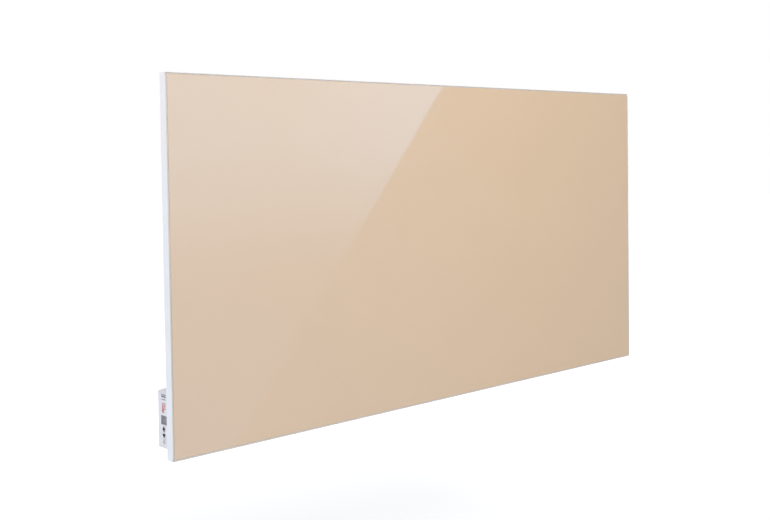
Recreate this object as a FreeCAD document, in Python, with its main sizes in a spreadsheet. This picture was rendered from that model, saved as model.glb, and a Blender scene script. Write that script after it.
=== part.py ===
import FreeCAD, Part
import math
import os
import re

import Sketcher

# Ceramic panel heater, wall hung. X runs right as seen from the front, Y back to the wall, Z up.
# The origin is the centre of the four wall screw holes, on the wall's surface.

# Driving dimensions in millimetres, piece by piece
SIZES = {
    # Whole heater
    "panel_width": 1200,
    "panel_height": 600,
    "frame_depth": 17,
    # Frame: folded white metal profile
    "frame_wall": 1.2,
    "frame_edge_round": 0.8,
    "tile_shelf_width": 10,
    "back_flange_width": 12,
    "corner_notch_length": 4,
    "corner_notch_depth": 1.4,
    # Corner keys inside the profile
    "key_leg_length": 40,
    "key_leg_width": 9,
    "key_fit_clearance": 0.1,
    # Tile, its joint and what it sits on
    "tile_thickness": 8,
    "tile_joint": 1.3,
    "tile_arris": 0.6,
    "seal_recess": 0.4,
    "seal_depth": 5,
    "gasket_thickness": 0.8,
    "bond_thickness": 0.8,
    "bond_margin": 3,
    # Heating cable in straight runs joined by half circles
    "cable_radius": 1.1,
    "cable_pitch": 45,
    "cable_end_margin": 50,
    "cable_top_margin": 52.5,
    "cable_clearance": 0.1,
    "strip_width": 30,
    "strip_thickness": 0.3,
    "strip_overlap": 10,
    "strip_pitch": 300,
    # Reflector and insulation
    "foil_thickness": 0.2,
    "mat_gap": 0.9,
    "mat_edge_clearance": 1,
    "wiring_window_margin": 4,
    # Rear cover
    "cover_recess": 1,
    "cover_thickness": 0.8,
    "cover_gap": 0.5,
    "bead_length": 900,
    "bead_width": 16,
    "bead_height": 0.8,
    "bead_pitch": 100,
    "bead_middle_z": 10,
    # Cover screws
    "screw_shank_radius": 1.5,
    "screw_shank_length": 3.5,
    "screw_head_radius": 2.8,
    "screw_head_height": 1.8,
    "screw_head_round": 0.7,
    "screw_slot_length": 3.2,
    "screw_slot_width": 0.7,
    "screw_hole_clearance": 0.1,
    "screw_pitch_x": 150,
    "screw_pitch_z": 150,
    # Hangers on the cover
    "hanger_length": 140,
    "hook_sheet": 1.5,
    "hook_bend_round": 0.6,
    "hanger_drop": 25,
    "hanger_lip_height": 6.5,
    "hanger_wall_clearance": 11,
    "rivet_radius": 1.6,
    "rivet_head_radius": 3.2,
    "rivet_head_height": 1.1,
    "rivet_tail_radius": 2.3,
    "rivet_tail_height": 0.7,
    "rivet_pitch": 60,
    "rivet_hole_clearance": 0.05,
    # Wall hooks
    "wall_hook_length": 100,
    "wall_hook_drop": 32,
    "hook_lip_gap": 2,
    "lip_end_gap": 1.5,
    "wall_hole_spacing_x": 600,
    "wall_hole_inset_z": 100,
    "wall_hole_radius": 2.75,
    "wall_hole_drop": 20,
    # Rating plate
    "plate_width": 90,
    "plate_height": 50,
    "plate_thickness": 0.4,
    "plate_corner": 3,
    "plate_from_box": 40,
    # Thermostat housing
    "box_width": 70,
    "box_depth": 29,
    "box_height": 91,
    "box_inset": 2,
    "box_wall_clearance": 3.2,
    "box_rise": 15.8,
    "box_wall": 2,
    "box_round": 1,
    "shoulder_length": 14,
    "shoulder_drop": 1.9,
    "guide_wall": 1.3,
    "guide_height": 1.8,
    "guide_clearance": 0.1,
    "vent_width": 1.5,
    "vent_length": 12,
    "vent_pitch": 3.5,
    "vent_from_left": 12,
    # Thermostat base on the rear cover
    "base_thickness": 1.5,
    "base_clearance": 0.4,
    "boss_radius": 3,
    "boss_gap": 0.3,
    "boss_left": 16,
    "boss_right": 4.5,
    "boss_end": 4,
    "boss_hole_depth": 12,
    "case_screw_radius": 1.4,
    "case_screw_length": 10,
    "case_screw_head_radius": 2.7,
    "case_screw_head_height": 1.1,
    "case_screw_recess": 1.2,
    "case_screw_recess_radius": 2.9,
    "case_screw_clearance": 0.05,
    "base_rivet_end": 5,
    "base_rivet_from_boss": 8,
    "base_rivet_from_edge": 5,
    "base_rivet_from_earth": 10.5,
    # Control face
    "face_forward": 2.5,
    "label_margin": 2.2,
    "label_recess": 0.3,
    "label_thickness": 0.25,
    "label_clearance": 0.1,
    "display_depth": 15.5,
    "display_height": 12.8,
    "display_above_keys": 12.7,
    "window_clearance": 0.15,
    "window_flange": 0.8,
    "window_overlap": 0.7,
    "module_gap": 0.3,
    "module_margin": 1,
    # Keys and the switches behind them
    "power_key_rise": 10.6,
    "down_key_pitch": 9,
    "up_key_pitch": 12,
    "keycap_depth": 9,
    "keycap_height": 7,
    "keycap_corner": 1.5,
    "keycap_edge": 0.25,
    "keycap_clearance": 0.3,
    "keycap_proud": 0.4,
    "keycap_flange": 1,
    "keycap_overlap": 0.5,
    "switch_side": 6,
    "switch_height": 3.2,
    "switch_gap": 0.8,
    "plunger_radius": 1.6,
    "plunger_length": 2.4,
    "plunger_clearance": 0.05,
    "plunger_hole_depth": 2.7,
    # Control board
    "board_thickness": 1.6,
    "board_edge_gap": 0.2,
    "ribbon_thickness": 0.9,
    "ribbon_width": 8,
    "ribbon_depth": 11.1,
    "ribbon_reach": 8.9,
    "ribbon_bend": 1.5,
    "sensor_radius": 1.5,
    "sensor_length": 5,
    "sensor_lead_radius": 0.35,
    "sensor_lead_pitch": 1.6,
    "sensor_setback": 3,
    "sensor_rise": 2.2,
    # Power board and what stands on it
    "power_board_left": 10,
    "power_board_rise": 9.5,
    "power_board_right": 2,
    "power_board_height": 30,
    "standoff_radius": 2,
    "standoff_height": 2,
    "standoff_inset": 3,
    "board_screw_radius": 1,
    "board_screw_length": 3,
    "board_screw_head_radius": 2,
    "board_screw_head_height": 1.3,
    "left_column": 8,
    "right_column": 6,
    "component_gap": 2,
    "component_round": 0.6,
    "relay_rise": 1.5,
    "relay_width": 10.5,
    "relay_height": 15.5,
    "relay_tall": 14,
    "capacitor_rise": 1,
    "capacitor_width": 13,
    "capacitor_height": 6,
    "capacitor_tall": 13,
    "supply_width": 14,
    "supply_height": 8,
    "supply_tall": 12,
    "terminal_width": 15,
    "terminal_height": 9,
    "terminal_tall": 13,
    "terminal_step": 4,
    "fuse_radius": 4.2,
    "fuse_tall": 8,
    "fuse_foot_radius": 3.4,
    "fuse_foot_height": 0.8,
    # Cable gland in the housing's underside
    "gland_from_middle": 5,
    "gland_bore_radius": 3.3,
    "gland_thread_radius": 6,
    "gland_hole_clearance": 0.2,
    "gland_thread_height": 8,
    "gland_hex_across": 15,
    "gland_hex_height": 5,
    "gland_spigot_radius": 5.2,
    "gland_spigot_height": 6,
    "gland_nut_height": 4,
    "gland_fit_clearance": 0.05,
    "gland_cap_radius": 7,
    "gland_cap_gap": 0.2,
    "gland_cap_end": 4,
    "gland_cap_round": 2,
    # Grommet where the wires leave the housing for the panel
    "grommet_from_right": 32,
    "grommet_from_top": 27.5,
    "grommet_neck_radius": 5,
    "grommet_wall": 0.8,
    "grommet_lip": 2,
    "grommet_flange": 1.2,
    "grommet_clearance": 0.2,
    # Thermal cut-out between two runs of the heating cable
    "cutout_from_grommet": 45,
    "cutout_below_middle": 2.3,
    "cutout_radius": 8,
    "cutout_gap": 2.2,
    "cutout_tab_pitch": 7,
    "cutout_tab_length": 6,
    "cutout_tab_width": 4,
    "cutout_tab_thickness": 0.8,
    # Wires
    "lead_radius": 1,
    "lead_bore_gap": 0.65,
    "lead_loop_margin": 10,
    "lead_turn_bend": 3,
    "lead_layer_pitch": 3.5,
    "lead_landing_pitch": 5,
    # Earth point on the cover, inside the housing
    "earth_right": 9,
    "earth_up": 15,
    "earth_stud_radius": 2,
    "earth_stud_length": 12,
    "earth_foot_radius": 4,
    "earth_foot_height": 0.7,
    "earth_collar_radius": 3.2,
    "earth_collar_gap": 0.2,
    "earth_hole_radius": 5,
    "earth_fit_clearance": 0.05,
    "earth_lug_radius": 4,
    "earth_lug_thickness": 0.8,
    "earth_barrel_radius": 1.5,
    "earth_barrel_length": 5,
    "earth_nut_across": 7,
    "earth_nut_height": 3.2,
    "earth_lead_radius": 0.9,
    "earth_lead_rise": 7.5,
    "earth_lead_run": 5,
    # How far a cutting shape runs past what it cuts
    "overrun": 2,
}

# Places that follow from the sizes, each a formula on those above it
PLACES = {
    "half_x": "panel_width / 2",
    "half_z": "panel_height / 2",
    "back": "-(box_wall_clearance + box_depth + cover_thickness - cover_recess)",
    "front": "back - frame_depth",
    "inner_x": "half_x - frame_wall",
    "inner_z": "half_z - frame_wall",
    # Layers from the tile to the rear cover
    "tile_back": "front + tile_thickness",
    "shelf_front": "tile_back + gasket_thickness",
    "shelf_back": "shelf_front + frame_wall",
    "bond_back": "tile_back + bond_thickness",
    "cable_y": "bond_back + cable_clearance + cable_radius",
    "strip_front": "cable_y + cable_radius + cable_clearance",
    "strip_back": "strip_front + strip_thickness",
    "foil_back": "strip_back + foil_thickness",
    "cover_front": "back - cover_recess",
    "cover_back": "cover_front + cover_thickness",
    "flange_front": "cover_front - frame_wall",
    "mat_back": "cover_front - mat_gap",
    # Half widths and half heights of those layers
    "tile_x": "inner_x - tile_joint",
    "tile_z": "inner_z - tile_joint",
    "shelf_x": "inner_x - tile_shelf_width",
    "shelf_z": "inner_z - tile_shelf_width",
    "bond_x": "shelf_x - bond_margin",
    "bond_z": "shelf_z - bond_margin",
    "mat_x": "inner_x - back_flange_width - mat_edge_clearance",
    "mat_z": "inner_z - back_flange_width - mat_edge_clearance",
    "cover_x": "inner_x - cover_gap",
    "cover_z": "inner_z - cover_gap",
    "screw_x": "inner_x - back_flange_width / 2",
    "screw_z": "inner_z - back_flange_width / 2",
    "run_x": "half_x - cable_end_margin",
    # Hangers and wall hooks
    "wall_hole_z": "half_z - wall_hole_inset_z",
    "upper_seat": "wall_hole_z + wall_hole_drop",
    "lower_seat": "-wall_hole_z + wall_hole_drop",
    "hook_reach": "hanger_wall_clearance + 2 * hook_sheet + hook_lip_gap",
    "rivet_drop": "hanger_drop / 2",
    # Thermostat housing
    "box_left": "-half_x + box_inset",
    "box_right": "box_left + box_width",
    "box_bottom": "-half_z + box_rise",
    "box_top": "box_bottom + box_height",
    "box_rear": "cover_back + box_depth",
    "box_mid": "cover_back + box_depth / 2",
    "in_left": "box_left + box_wall",
    "in_right": "box_right - box_wall",
    "in_bottom": "box_bottom + box_wall",
    "in_top": "box_top - box_wall",
    "face_top": "box_top - shoulder_drop",
    "in_face_top": "face_top - box_wall",
    "in_rear": "box_rear - box_wall",
    "base_back": "cover_back + base_thickness",
    "boss_top": "in_rear - boss_gap",
    "case_screw_seat": "box_rear - case_screw_recess",
    # Control face
    "face_mid": "box_mid - face_forward",
    "label_front": "box_left + label_recess - label_thickness",
    "power_key_z": "box_bottom + power_key_rise",
    "down_key_z": "power_key_z + down_key_pitch",
    "up_key_z": "down_key_z + up_key_pitch",
    "display_z": "up_key_z + display_above_keys",
    "keycap_back": "in_left + keycap_flange",
    "switch_front": "keycap_back + switch_gap",
    "board_front": "switch_front + switch_height",
    "board_rear": "board_front + board_thickness",
    # Power board
    "power_left": "in_left + power_board_left",
    "power_right": "in_right - power_board_right",
    "power_bottom": "in_bottom + power_board_rise",
    "power_top": "power_bottom + power_board_height",
    "power_front": "base_back + standoff_height",
    "power_back": "power_front + board_thickness",
    "right_edge": "power_right - right_column",
    "relay_left": "power_left + left_column",
    "relay_low": "power_bottom + relay_rise",
    "capacitor_left": "right_edge - capacitor_width",
    "capacitor_low": "power_bottom + capacitor_rise",
    "supply_left": "right_edge - supply_width",
    "supply_low": "capacitor_low + capacitor_height + component_gap",
    "terminal_left": "right_edge - terminal_width",
    "terminal_low": "supply_low + supply_height + component_gap",
    "terminal_mid": "terminal_left + terminal_width / 2",
    "terminal_top": "terminal_low + terminal_height",
    "fuse_x": "relay_left + fuse_radius",
    "fuse_z": "relay_low + relay_height + component_gap + fuse_radius",
    # Gland, grommet, cut-out and earth point
    "gland_x": "(box_left + box_right) / 2 + gland_from_middle",
    "gland_hex_bottom": "box_bottom - gland_hex_height",
    "gland_spigot_bottom": "gland_hex_bottom - gland_spigot_height",
    "gland_cap_top": "gland_hex_bottom - gland_cap_gap",
    "gland_cap_inside": "gland_spigot_bottom - gland_cap_gap",
    "grommet_x": "box_right - grommet_from_right",
    "grommet_z": "box_top - grommet_from_top",
    "grommet_radius": "grommet_neck_radius + grommet_lip",
    "grommet_bore_radius": "grommet_neck_radius - grommet_wall",
    "lead_spread": "(grommet_bore_radius - lead_radius - lead_bore_gap) / sqrt(2)",
    "cutout_x": "grommet_x + cutout_from_grommet",
    "cutout_z": "grommet_z - lead_spread - cutout_tab_pitch / 2",
    "first_run": "cutout_z + cutout_below_middle - cable_pitch / 2",
    "earth_x": "grommet_x + earth_right",
    "earth_z": "grommet_z + earth_up",
    "earth_lug_front": "base_back + earth_collar_gap",
    "earth_lug_back": "earth_lug_front + earth_lug_thickness",
    "earth_lead_y": "base_back + earth_lead_rise",
    "live_lead_y": "earth_lead_y + lead_layer_pitch",
    "return_lead_y": "live_lead_y + lead_layer_pitch",
}

# Counts that no size changes
BEAD_COUNT = 3
VENT_COUNT = 4

# Levels nearer to each other than this are the same
CLOSE = 1e-4

doc = FreeCAD.newDocument("panel_heater")
sheet_of = {}


def fill_sheet(name, cells):
    """A sheet with one alias per row."""
    sheet = doc.addObject("Spreadsheet::Sheet", name)
    for row, (alias, content) in enumerate(cells.items(), start=1):
        sheet.set("A%d" % row, alias)
        sheet.set("B%d" % row, content)
        sheet.setAlias("B%d" % row, alias)
        sheet_of[alias] = name + "."
    return sheet


def full(expression):
    """The expression with the name of its sheet before each alias."""
    return re.sub(r"[a-z_]\w*", lambda word: sheet_of.get(word.group(), "") + word.group(), expression)


sizes = fill_sheet("Sizes", {alias: str(size) for alias, size in SIZES.items()})
for place in PLACES:
    sheet_of[place] = "Places."
places = fill_sheet("Places", {alias: "=" + full(formula) for alias, formula in PLACES.items()})
doc.recompute()


def value(expression):
    """What an expression on the two sheets comes to, in millimetres."""
    return float(places.evalExpression(full(expression)))


def steps_in(length, pitch):
    """How many whole steps of a pitch go into a length."""
    return int(value(length) / value(pitch) + CLOSE)


def bind(item, bindings):
    """Tie properties of an object to expressions."""
    for name, expression in bindings.items():
        item.setExpression(name, full(expression))


def bind_base(item, spot):
    """Tie an object's place to three expressions."""
    bind(item, {"Placement.Base." + axis: text for axis, text in zip("xyz", spot)})


# Primitives and booleans
TURNS = {
    "x": FreeCAD.Rotation(FreeCAD.Vector(0, 1, 0), 90),
    "y": FreeCAD.Rotation(FreeCAD.Vector(1, 0, 0), -90),
    "z": FreeCAD.Rotation(),
}


def block(low, high):
    """A box from its lowest corner to its highest."""
    item = doc.addObject("Part::Box", "block")
    bind_base(item, low)
    for side, start, end in zip(("Length", "Width", "Height"), low, high):
        bind(item, {side: "(%s) - (%s)" % (end, start)})
    return item


def rod(axis, spot, radius, length):
    """A cylinder that runs from a spot along X, Y or Z."""
    item = doc.addObject("Part::Cylinder", "rod")
    item.Placement.Rotation = TURNS[axis]
    bind_base(item, spot)
    bind(item, {"Radius": radius, "Height": length})
    return item


def hexagon(axis, spot, across, length):
    """A hexagonal bar, its size given across the flats."""
    item = doc.addObject("Part::Prism", "hexagon")
    item.Polygon = 6
    item.Placement.Rotation = TURNS[axis]
    bind_base(item, spot)
    bind(item, {"Circumradius": "(%s) / sqrt(3)" % across, "Height": length})
    return item


def joined(*items):
    """Several solids made one."""
    item = doc.addObject("Part::MultiFuse", "joined")
    item.Shapes = items
    item.Refine = True
    return item


def less(base, *tools):
    """A solid with others cut out of it."""
    item = doc.addObject("Part::Cut", "less")
    item.Base = base
    item.Tool = tools[0] if len(tools) == 1 else group(*tools)
    item.Refine = True
    return item


def group(*items):
    """Separate solids that count as one piece."""
    item = doc.addObject("Part::Compound", "group")
    item.Links = items
    return item


def copies(original, spots):
    """The same solid at several spots; a spot may end with a rotation."""
    links = []
    for spot in spots:
        link = doc.addObject("App::Link", "copy")
        link.setLink(original)
        link.LinkTransform = True
        if len(spot) > 3:
            link.Placement.Rotation = spot[3]
        bind_base(link, spot[:3])
        links.append(link)
    return group(*links)


# Sketched bodies
def new_body():
    return doc.addObject("PartDesign::Body", "body")


def rectangle(low_u, low_v, high_u, high_v):
    return [(low_u, low_v), (high_u, low_v), (high_u, high_v), (low_u, high_v)]


def about(middle_u, middle_v, width, height):
    """A rectangle about its middle."""
    sides = ["(%s) %s (%s) / 2" % side for side in (
        (middle_u, "-", width), (middle_v, "-", height), (middle_u, "+", width), (middle_v, "+", height))]
    return rectangle(*sides)


def pin_point(sketch, line, point, spot):
    """Tie a point of a sketch to a pair of expressions."""
    for kind, axis_line, text in (("DistanceX", -2, spot[0]), ("DistanceY", -1, spot[1])):
        if text == "0":
            sketch.addConstraint(Sketcher.Constraint("PointOnObject", line, point, axis_line))
            continue
        index = sketch.addConstraint(Sketcher.Constraint(kind, -1, 1, line, point, value(text)))
        sketch.setExpression("Constraints[%d]" % index, full(text))


def draw(sketch, loops):
    """Closed outlines: a list of corners, or (middle, radius) for a circle."""
    for loop in loops:
        first = sketch.GeometryCount
        if isinstance(loop, tuple):
            spot, radius = loop
            middle = FreeCAD.Vector(value(spot[0]), value(spot[1]), 0)
            sketch.addGeometry(Part.Circle(middle, FreeCAD.Vector(0, 0, 1), value(radius)), False)
            index = sketch.addConstraint(Sketcher.Constraint("Radius", first, value(radius)))
            sketch.setExpression("Constraints[%d]" % index, full(radius))
            pin_point(sketch, first, 3, spot)
            continue
        corners = [FreeCAD.Vector(value(u), value(v), 0) for u, v in loop]
        count = len(corners)
        for k in range(count):
            sketch.addGeometry(Part.LineSegment(corners[k], corners[(k + 1) % count]), False)
        for k in range(count):
            following = first + (k + 1) % count
            sketch.addConstraint(Sketcher.Constraint("Coincident", first + k, 2, following, 1))
        for k in range(count):
            pin_point(sketch, first + k, 1, loop[k])


def sketch_on(body, plane, level, loops):
    """A sketch on one of the body's own planes, at a level along that plane's axis."""
    sketch = body.newObject("Sketcher::SketchObject", "sketch")
    for item in body.Origin.OriginFeatures:
        if item.Role == plane + "_Plane":
            sketch.AttachmentSupport = [(item, "")]
    sketch.MapMode = "FlatFace"
    sign = "-" if plane == "XZ" else ""
    bind(sketch, {"AttachmentOffset.Base.z": "%s(%s)" % (sign, level)})
    draw(sketch, loops)
    return sketch


def pad(body, plane, low, high, *loops):
    """Material between two levels along the plane's axis."""
    sketch = sketch_on(body, plane, low, loops)
    feature = body.newObject("PartDesign::Pad", "pad")
    feature.Profile = sketch
    feature.Reversed = plane == "XZ"
    bind(feature, {"Length": "(%s) - (%s)" % (high, low)})
    doc.recompute()
    return feature


def pocket(body, plane, low, high, *loops):
    """A cut between two levels along the plane's axis."""
    before = body.Shape.Volume
    sketch = sketch_on(body, plane, low, loops)
    feature = body.newObject("PartDesign::Pocket", "pocket")
    feature.Profile = sketch
    feature.Reversed = plane != "XZ"
    bind(feature, {"Length": "(%s) - (%s)" % (high, low)})
    doc.recompute()
    if body.Shape.Volume >= before:
        raise RuntimeError("a pocket of %s removed nothing" % body.Label)
    return feature


def ease(body, kind, size, chosen):
    """A fillet or chamfer on the edges that a test picks."""
    before = body.Tip
    edges = enumerate(before.Shape.Edges, start=1)
    names = ["Edge%d" % number for number, edge in edges if chosen(edge)]
    feature = body.newObject("PartDesign::" + kind, kind.lower())
    feature.Base = (before, names)
    bind(feature, {"Radius" if kind == "Fillet" else "Size": size})
    doc.recompute()
    return feature


def turned(plane, corners):
    """A body turned about the sketch's upright axis; corners are (radius, height)."""
    body = new_body()
    sketch = sketch_on(body, plane, "0", [corners])
    feature = body.newObject("PartDesign::Revolution", "turned")
    feature.Profile = sketch
    feature.ReferenceAxis = (sketch, ["V_Axis"])
    feature.Angle = 360
    doc.recompute()
    return body


def runs_along(edge, axis):
    """Whether an edge is a straight line along X, Y or Z."""
    if edge.Curve.TypeId != "Part::GeomLine":
        return False
    return abs(abs(getattr(edge.Curve.Direction, axis)) - 1) < CLOSE


def lies_at(edge, **levels):
    """Whether all of an edge lies at the given levels, such as Y=front."""
    box = edge.BoundBox
    for axis, level in levels.items():
        if abs(getattr(box, axis + "Min") - level) > CLOSE:
            return False
        if abs(getattr(box, axis + "Max") - level) > CLOSE:
            return False
    return True


# Tubes along a route of straight runs and tangent arcs
def route(points, bend):
    """A wire through points, each corner rounded to one radius."""
    corners = [FreeCAD.Vector(*point) for point in points]
    edges = []
    here = corners[0]
    for before, corner, after in zip(corners, corners[1:], corners[2:]):
        incoming = (corner - before).normalize()
        outgoing = (after - corner).normalize()
        turn = incoming.getAngle(outgoing)
        reach = bend * math.tan(turn / 2)
        start = corner - incoming * reach
        end = corner + outgoing * reach
        inward = (outgoing - incoming).normalize()
        middle = corner + inward * (bend / math.cos(turn / 2) - bend)
        if (start - here).Length > CLOSE:
            edges.append(Part.LineSegment(here, start).toShape())
        edges.append(Part.Arc(start, middle, end).toShape())
        here = end
    if (corners[-1] - here).Length > CLOSE:
        edges.append(Part.LineSegment(here, corners[-1]).toShape())
    return Part.Wire(edges)


def tube(points, bend, radius):
    """A round wire or cable along a route; its volume is checked against its length."""
    path = route([[value(text) for text in point] for point in points], value(bend))
    start = path.Edges[0]
    middle = start.valueAt(start.FirstParameter)
    section = Part.Wire(Part.makeCircle(value(radius), middle, start.tangentAt(start.FirstParameter)))
    shell = Part.BRepOffsetAPI.MakePipeShell(path)
    shell.add(section)
    shell.build()
    shell.makeSolid()
    item = doc.addObject("Part::Feature", "tube")
    item.Shape = shell.shape()
    item.Placement = FreeCAD.Placement()
    share = item.Shape.Volume / (math.pi * value(radius) ** 2 * path.Length)
    print("tube length %.1f, volume share %.4f" % (path.Length, share))
    return item


# Rows
def in_a_row(count, pitch):
    """Evenly spaced places either side of the middle."""
    return ["%s * %s" % (pitch, index - (count - 1) / 2) for index in range(count)]


def along(length, pitch):
    """As many places in a row as the length has room for."""
    return in_a_row(steps_in(length, pitch), pitch)


TOP_SCREWS = along("panel_width - screw_pitch_x", "screw_pitch_x")
SIDE_SCREWS = along("panel_height - screw_pitch_z", "screw_pitch_z")


# Frame
def frame_side(run, reach, screws, quarter_turns):
    """One mitred side of the frame, drawn as the top one and turned into place."""
    body = new_body()
    wall = "(%s) - frame_wall" % reach
    shelf = "(%s) - frame_wall - tile_shelf_width" % reach
    flange = "(%s) - frame_wall - back_flange_width" % reach
    end = "(%s) / 2" % run
    pad(body, "YZ", "-" + end, end, [
        ("front", reach), ("back", reach), ("back", wall), ("cover_front", wall),
        ("cover_front", flange), ("flange_front", flange), ("flange_front", wall),
        ("shelf_back", wall), ("shelf_back", shelf), ("shelf_front", shelf),
        ("shelf_front", wall), ("front", wall)])
    ease(body, "Fillet", "frame_edge_round", lambda edge: lies_at(edge, Y=value("front"), Z=value(reach)))
    depth = "(frame_wall + back_flange_width + overrun)"
    for side in ("", "-"):
        tip = "%s(%s)" % (side, end)
        past = "%s(%s + overrun)" % (side, end)
        mitre = "%s(%s - %s)" % (side, end, depth)
        inner = "(%s) - %s" % (reach, depth)
        pocket(body, "XZ", "front - overrun", "back + overrun",
               [(tip, reach), (past, reach), (past, inner), (mitre, inner)])
        notch = "%s(%s - frame_wall - corner_notch_length)" % (side, end)
        pocket(body, "XZ", "front - overrun", "front + corner_notch_depth",
               rectangle(notch, "%s - overrun" % wall, past, "(%s) + overrun" % reach))
    line = flange + " + back_flange_width / 2"
    holes = [((place, line), "screw_shank_radius + screw_hole_clearance") for place in screws]
    pocket(body, "XZ", "flange_front - overrun", "cover_front + overrun / 2", *holes)
    body.Placement.Rotation = FreeCAD.Rotation(FreeCAD.Vector(0, 1, 0), 90 * quarter_turns)
    return body


def corner_keys():
    """Angle pieces pressed into the hollow of the profile at each corner."""
    body = new_body()
    tip = "-key_fit_clearance"
    leg = "-key_leg_length"
    width = "-(key_fit_clearance + key_leg_width)"
    pad(body, "XZ", "shelf_back + key_fit_clearance", "flange_front - key_fit_clearance",
        [(tip, tip), (tip, leg), (width, leg), (width, width), (leg, width), (leg, tip)])
    ends = ((1, 1, 0), (1, -1, 1), (-1, -1, 2), (-1, 1, 3))
    spots = []
    for side_x, side_z, turns in ends:
        turn = FreeCAD.Rotation(FreeCAD.Vector(0, 1, 0), 90 * turns)
        spots.append(("%d * inner_x" % side_x, "0", "%d * inner_z" % side_z, turn))
    return copies(body, spots)


def ring(front, back, outer_x, outer_z, inner_x, inner_z):
    """A rectangular ring between two levels of Y."""
    over = "overrun"
    outer = block(("-(%s)" % outer_x, front, "-(%s)" % outer_z), (outer_x, back, outer_z))
    hollow = block(("-(%s)" % inner_x, "(%s) - %s" % (front, over), "-(%s)" % inner_z),
                   (inner_x, "(%s) + %s" % (back, over), inner_z))
    return less(outer, hollow)


def slab(front, back, half_x, half_z):
    """A sheet centred on the panel between two levels of Y."""
    return block(("-(%s)" % half_x, front, "-(%s)" % half_z), (half_x, back, half_z))


def ceramic_tile():
    body = new_body()
    pad(body, "XZ", "front", "tile_back", rectangle("-tile_x", "-tile_z", "tile_x", "tile_z"))
    ease(body, "Chamfer", "tile_arris", lambda edge: lies_at(edge, Y=value("front")))
    return body


# Heating
CABLE_TURNS = steps_in("half_z - cable_top_margin - first_run", "cable_pitch")
CABLE_RUNS = (CABLE_TURNS + 1) // 2 * 2


def run_height(index):
    """The height of one straight run; an even number of runs brings both ends to the left."""
    return "first_run + cable_pitch * %d" % index


def heating_cable():
    """The runs from the lowest to the highest, joined by half circles."""
    points = [("-run_x", "cable_y", run_height(0))]
    for index in range(CABLE_RUNS - 1):
        turn = "%s(run_x + cable_pitch / 2)" % ("" if index % 2 == 0 else "-")
        points.append((turn, "cable_y", run_height(index)))
        points.append((turn, "cable_y", run_height(index + 1)))
    points.append(("-run_x", "cable_y", run_height(CABLE_RUNS - 1)))
    return tube(points, "cable_pitch / 2", "cable_radius")


def cable_strips():
    """Upright strips of tape that hold the runs to the tile."""
    low = run_height(0) + " - strip_overlap"
    high = run_height(CABLE_RUNS - 1) + " + strip_overlap"
    strips = []
    for middle in along("panel_width", "strip_pitch"):
        strips.append(block(("%s - strip_width / 2" % middle, "strip_front", low),
                            ("%s + strip_width / 2" % middle, "strip_back", high)))
    return group(*strips)


def wiring_window(front, back):
    """The notch in a layer round the cut-out and the grommet, open at the left edge."""
    return block(("-(mat_x + overrun)", "(%s) - overrun" % front,
                  "cutout_z - cutout_radius - wiring_window_margin"),
                 ("cutout_x + cutout_radius + wiring_window_margin", "(%s) + overrun" % back,
                  "grommet_z + grommet_radius + wiring_window_margin"))


def thermal_cutout():
    """A round bimetal switch with two tabs, flat on the bonding layer."""
    tall = "cover_front - cutout_gap - bond_back"
    shapes = [rod("y", ("cutout_x", "bond_back", "cutout_z"), "cutout_radius", tall)]
    for side in (1, -1):
        middle = "(cutout_z + %d * cutout_tab_pitch / 2)" % side
        shapes.append(block(
            ("cutout_x - cutout_radius - cutout_tab_length", "cable_y - cutout_tab_thickness / 2",
             "%s - cutout_tab_width / 2" % middle),
            ("cutout_x", "cable_y + cutout_tab_thickness / 2", "%s + cutout_tab_width / 2" % middle)))
    return joined(*shapes)


def heater_leads():
    """Three wires: cable to cut-out, cut-out to terminal, and cable's far end to terminal."""
    tab_end = "cutout_x - cutout_radius - cutout_tab_length"
    low_tab = "cutout_z - cutout_tab_pitch / 2"
    high_tab = "cutout_z + cutout_tab_pitch / 2"
    cable_start = run_height(0)
    turn = "((%s) - (%s)) / 2" % (low_tab, cable_start)
    loop_x = "-(run_x + lead_loop_margin + %s)" % turn
    first = tube([("-run_x", "cable_y", cable_start), (loop_x, "cable_y", cable_start),
                  (loop_x, "cable_y", low_tab), (tab_end, "cable_y", low_tab)], turn, "lead_radius")
    live_x = "grommet_x + lead_spread"
    live_end = "terminal_mid + lead_landing_pitch"
    second = tube([(tab_end, "cable_y", high_tab), (live_x, "cable_y", high_tab),
                   (live_x, "live_lead_y", high_tab), (live_end, "live_lead_y", high_tab),
                   (live_end, "live_lead_y", "terminal_top")], "lead_turn_bend", "lead_radius")
    margin_x = "-(run_x + cable_pitch / 2 + cable_radius + shelf_x) / 2"
    far_run = run_height(CABLE_RUNS - 1)
    return_x = "grommet_x - lead_spread"
    return_z = "grommet_z + lead_spread"
    third = tube([("-run_x", "cable_y", far_run), (margin_x, "cable_y", far_run),
                  (margin_x, "cable_y", return_z), (return_x, "cable_y", return_z),
                  (return_x, "return_lead_y", return_z), ("terminal_mid", "return_lead_y", return_z),
                  ("terminal_mid", "return_lead_y", "terminal_top")], "lead_turn_bend", "lead_radius")
    return group(first, second, third)


# Rear cover and what is fixed to it
def cover_screw_spots():
    """The middles of the screws round the cover, as (x, z)."""
    spots = []
    for side in ("-", ""):
        spots += [(across, side + "screw_z") for across in TOP_SCREWS]
        spots += [(side + "screw_x", upward) for upward in SIDE_SCREWS]
    return spots


def hanger_rivet_spots(seat):
    """The middles of the rivets of the two hangers at one height, as (x, z)."""
    spots = []
    for side in ("-", ""):
        for across in along("hanger_length", "rivet_pitch"):
            spots.append(("%swall_hole_spacing_x / 2 + %s" % (side, across), seat + " - rivet_drop"))
    return spots


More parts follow.
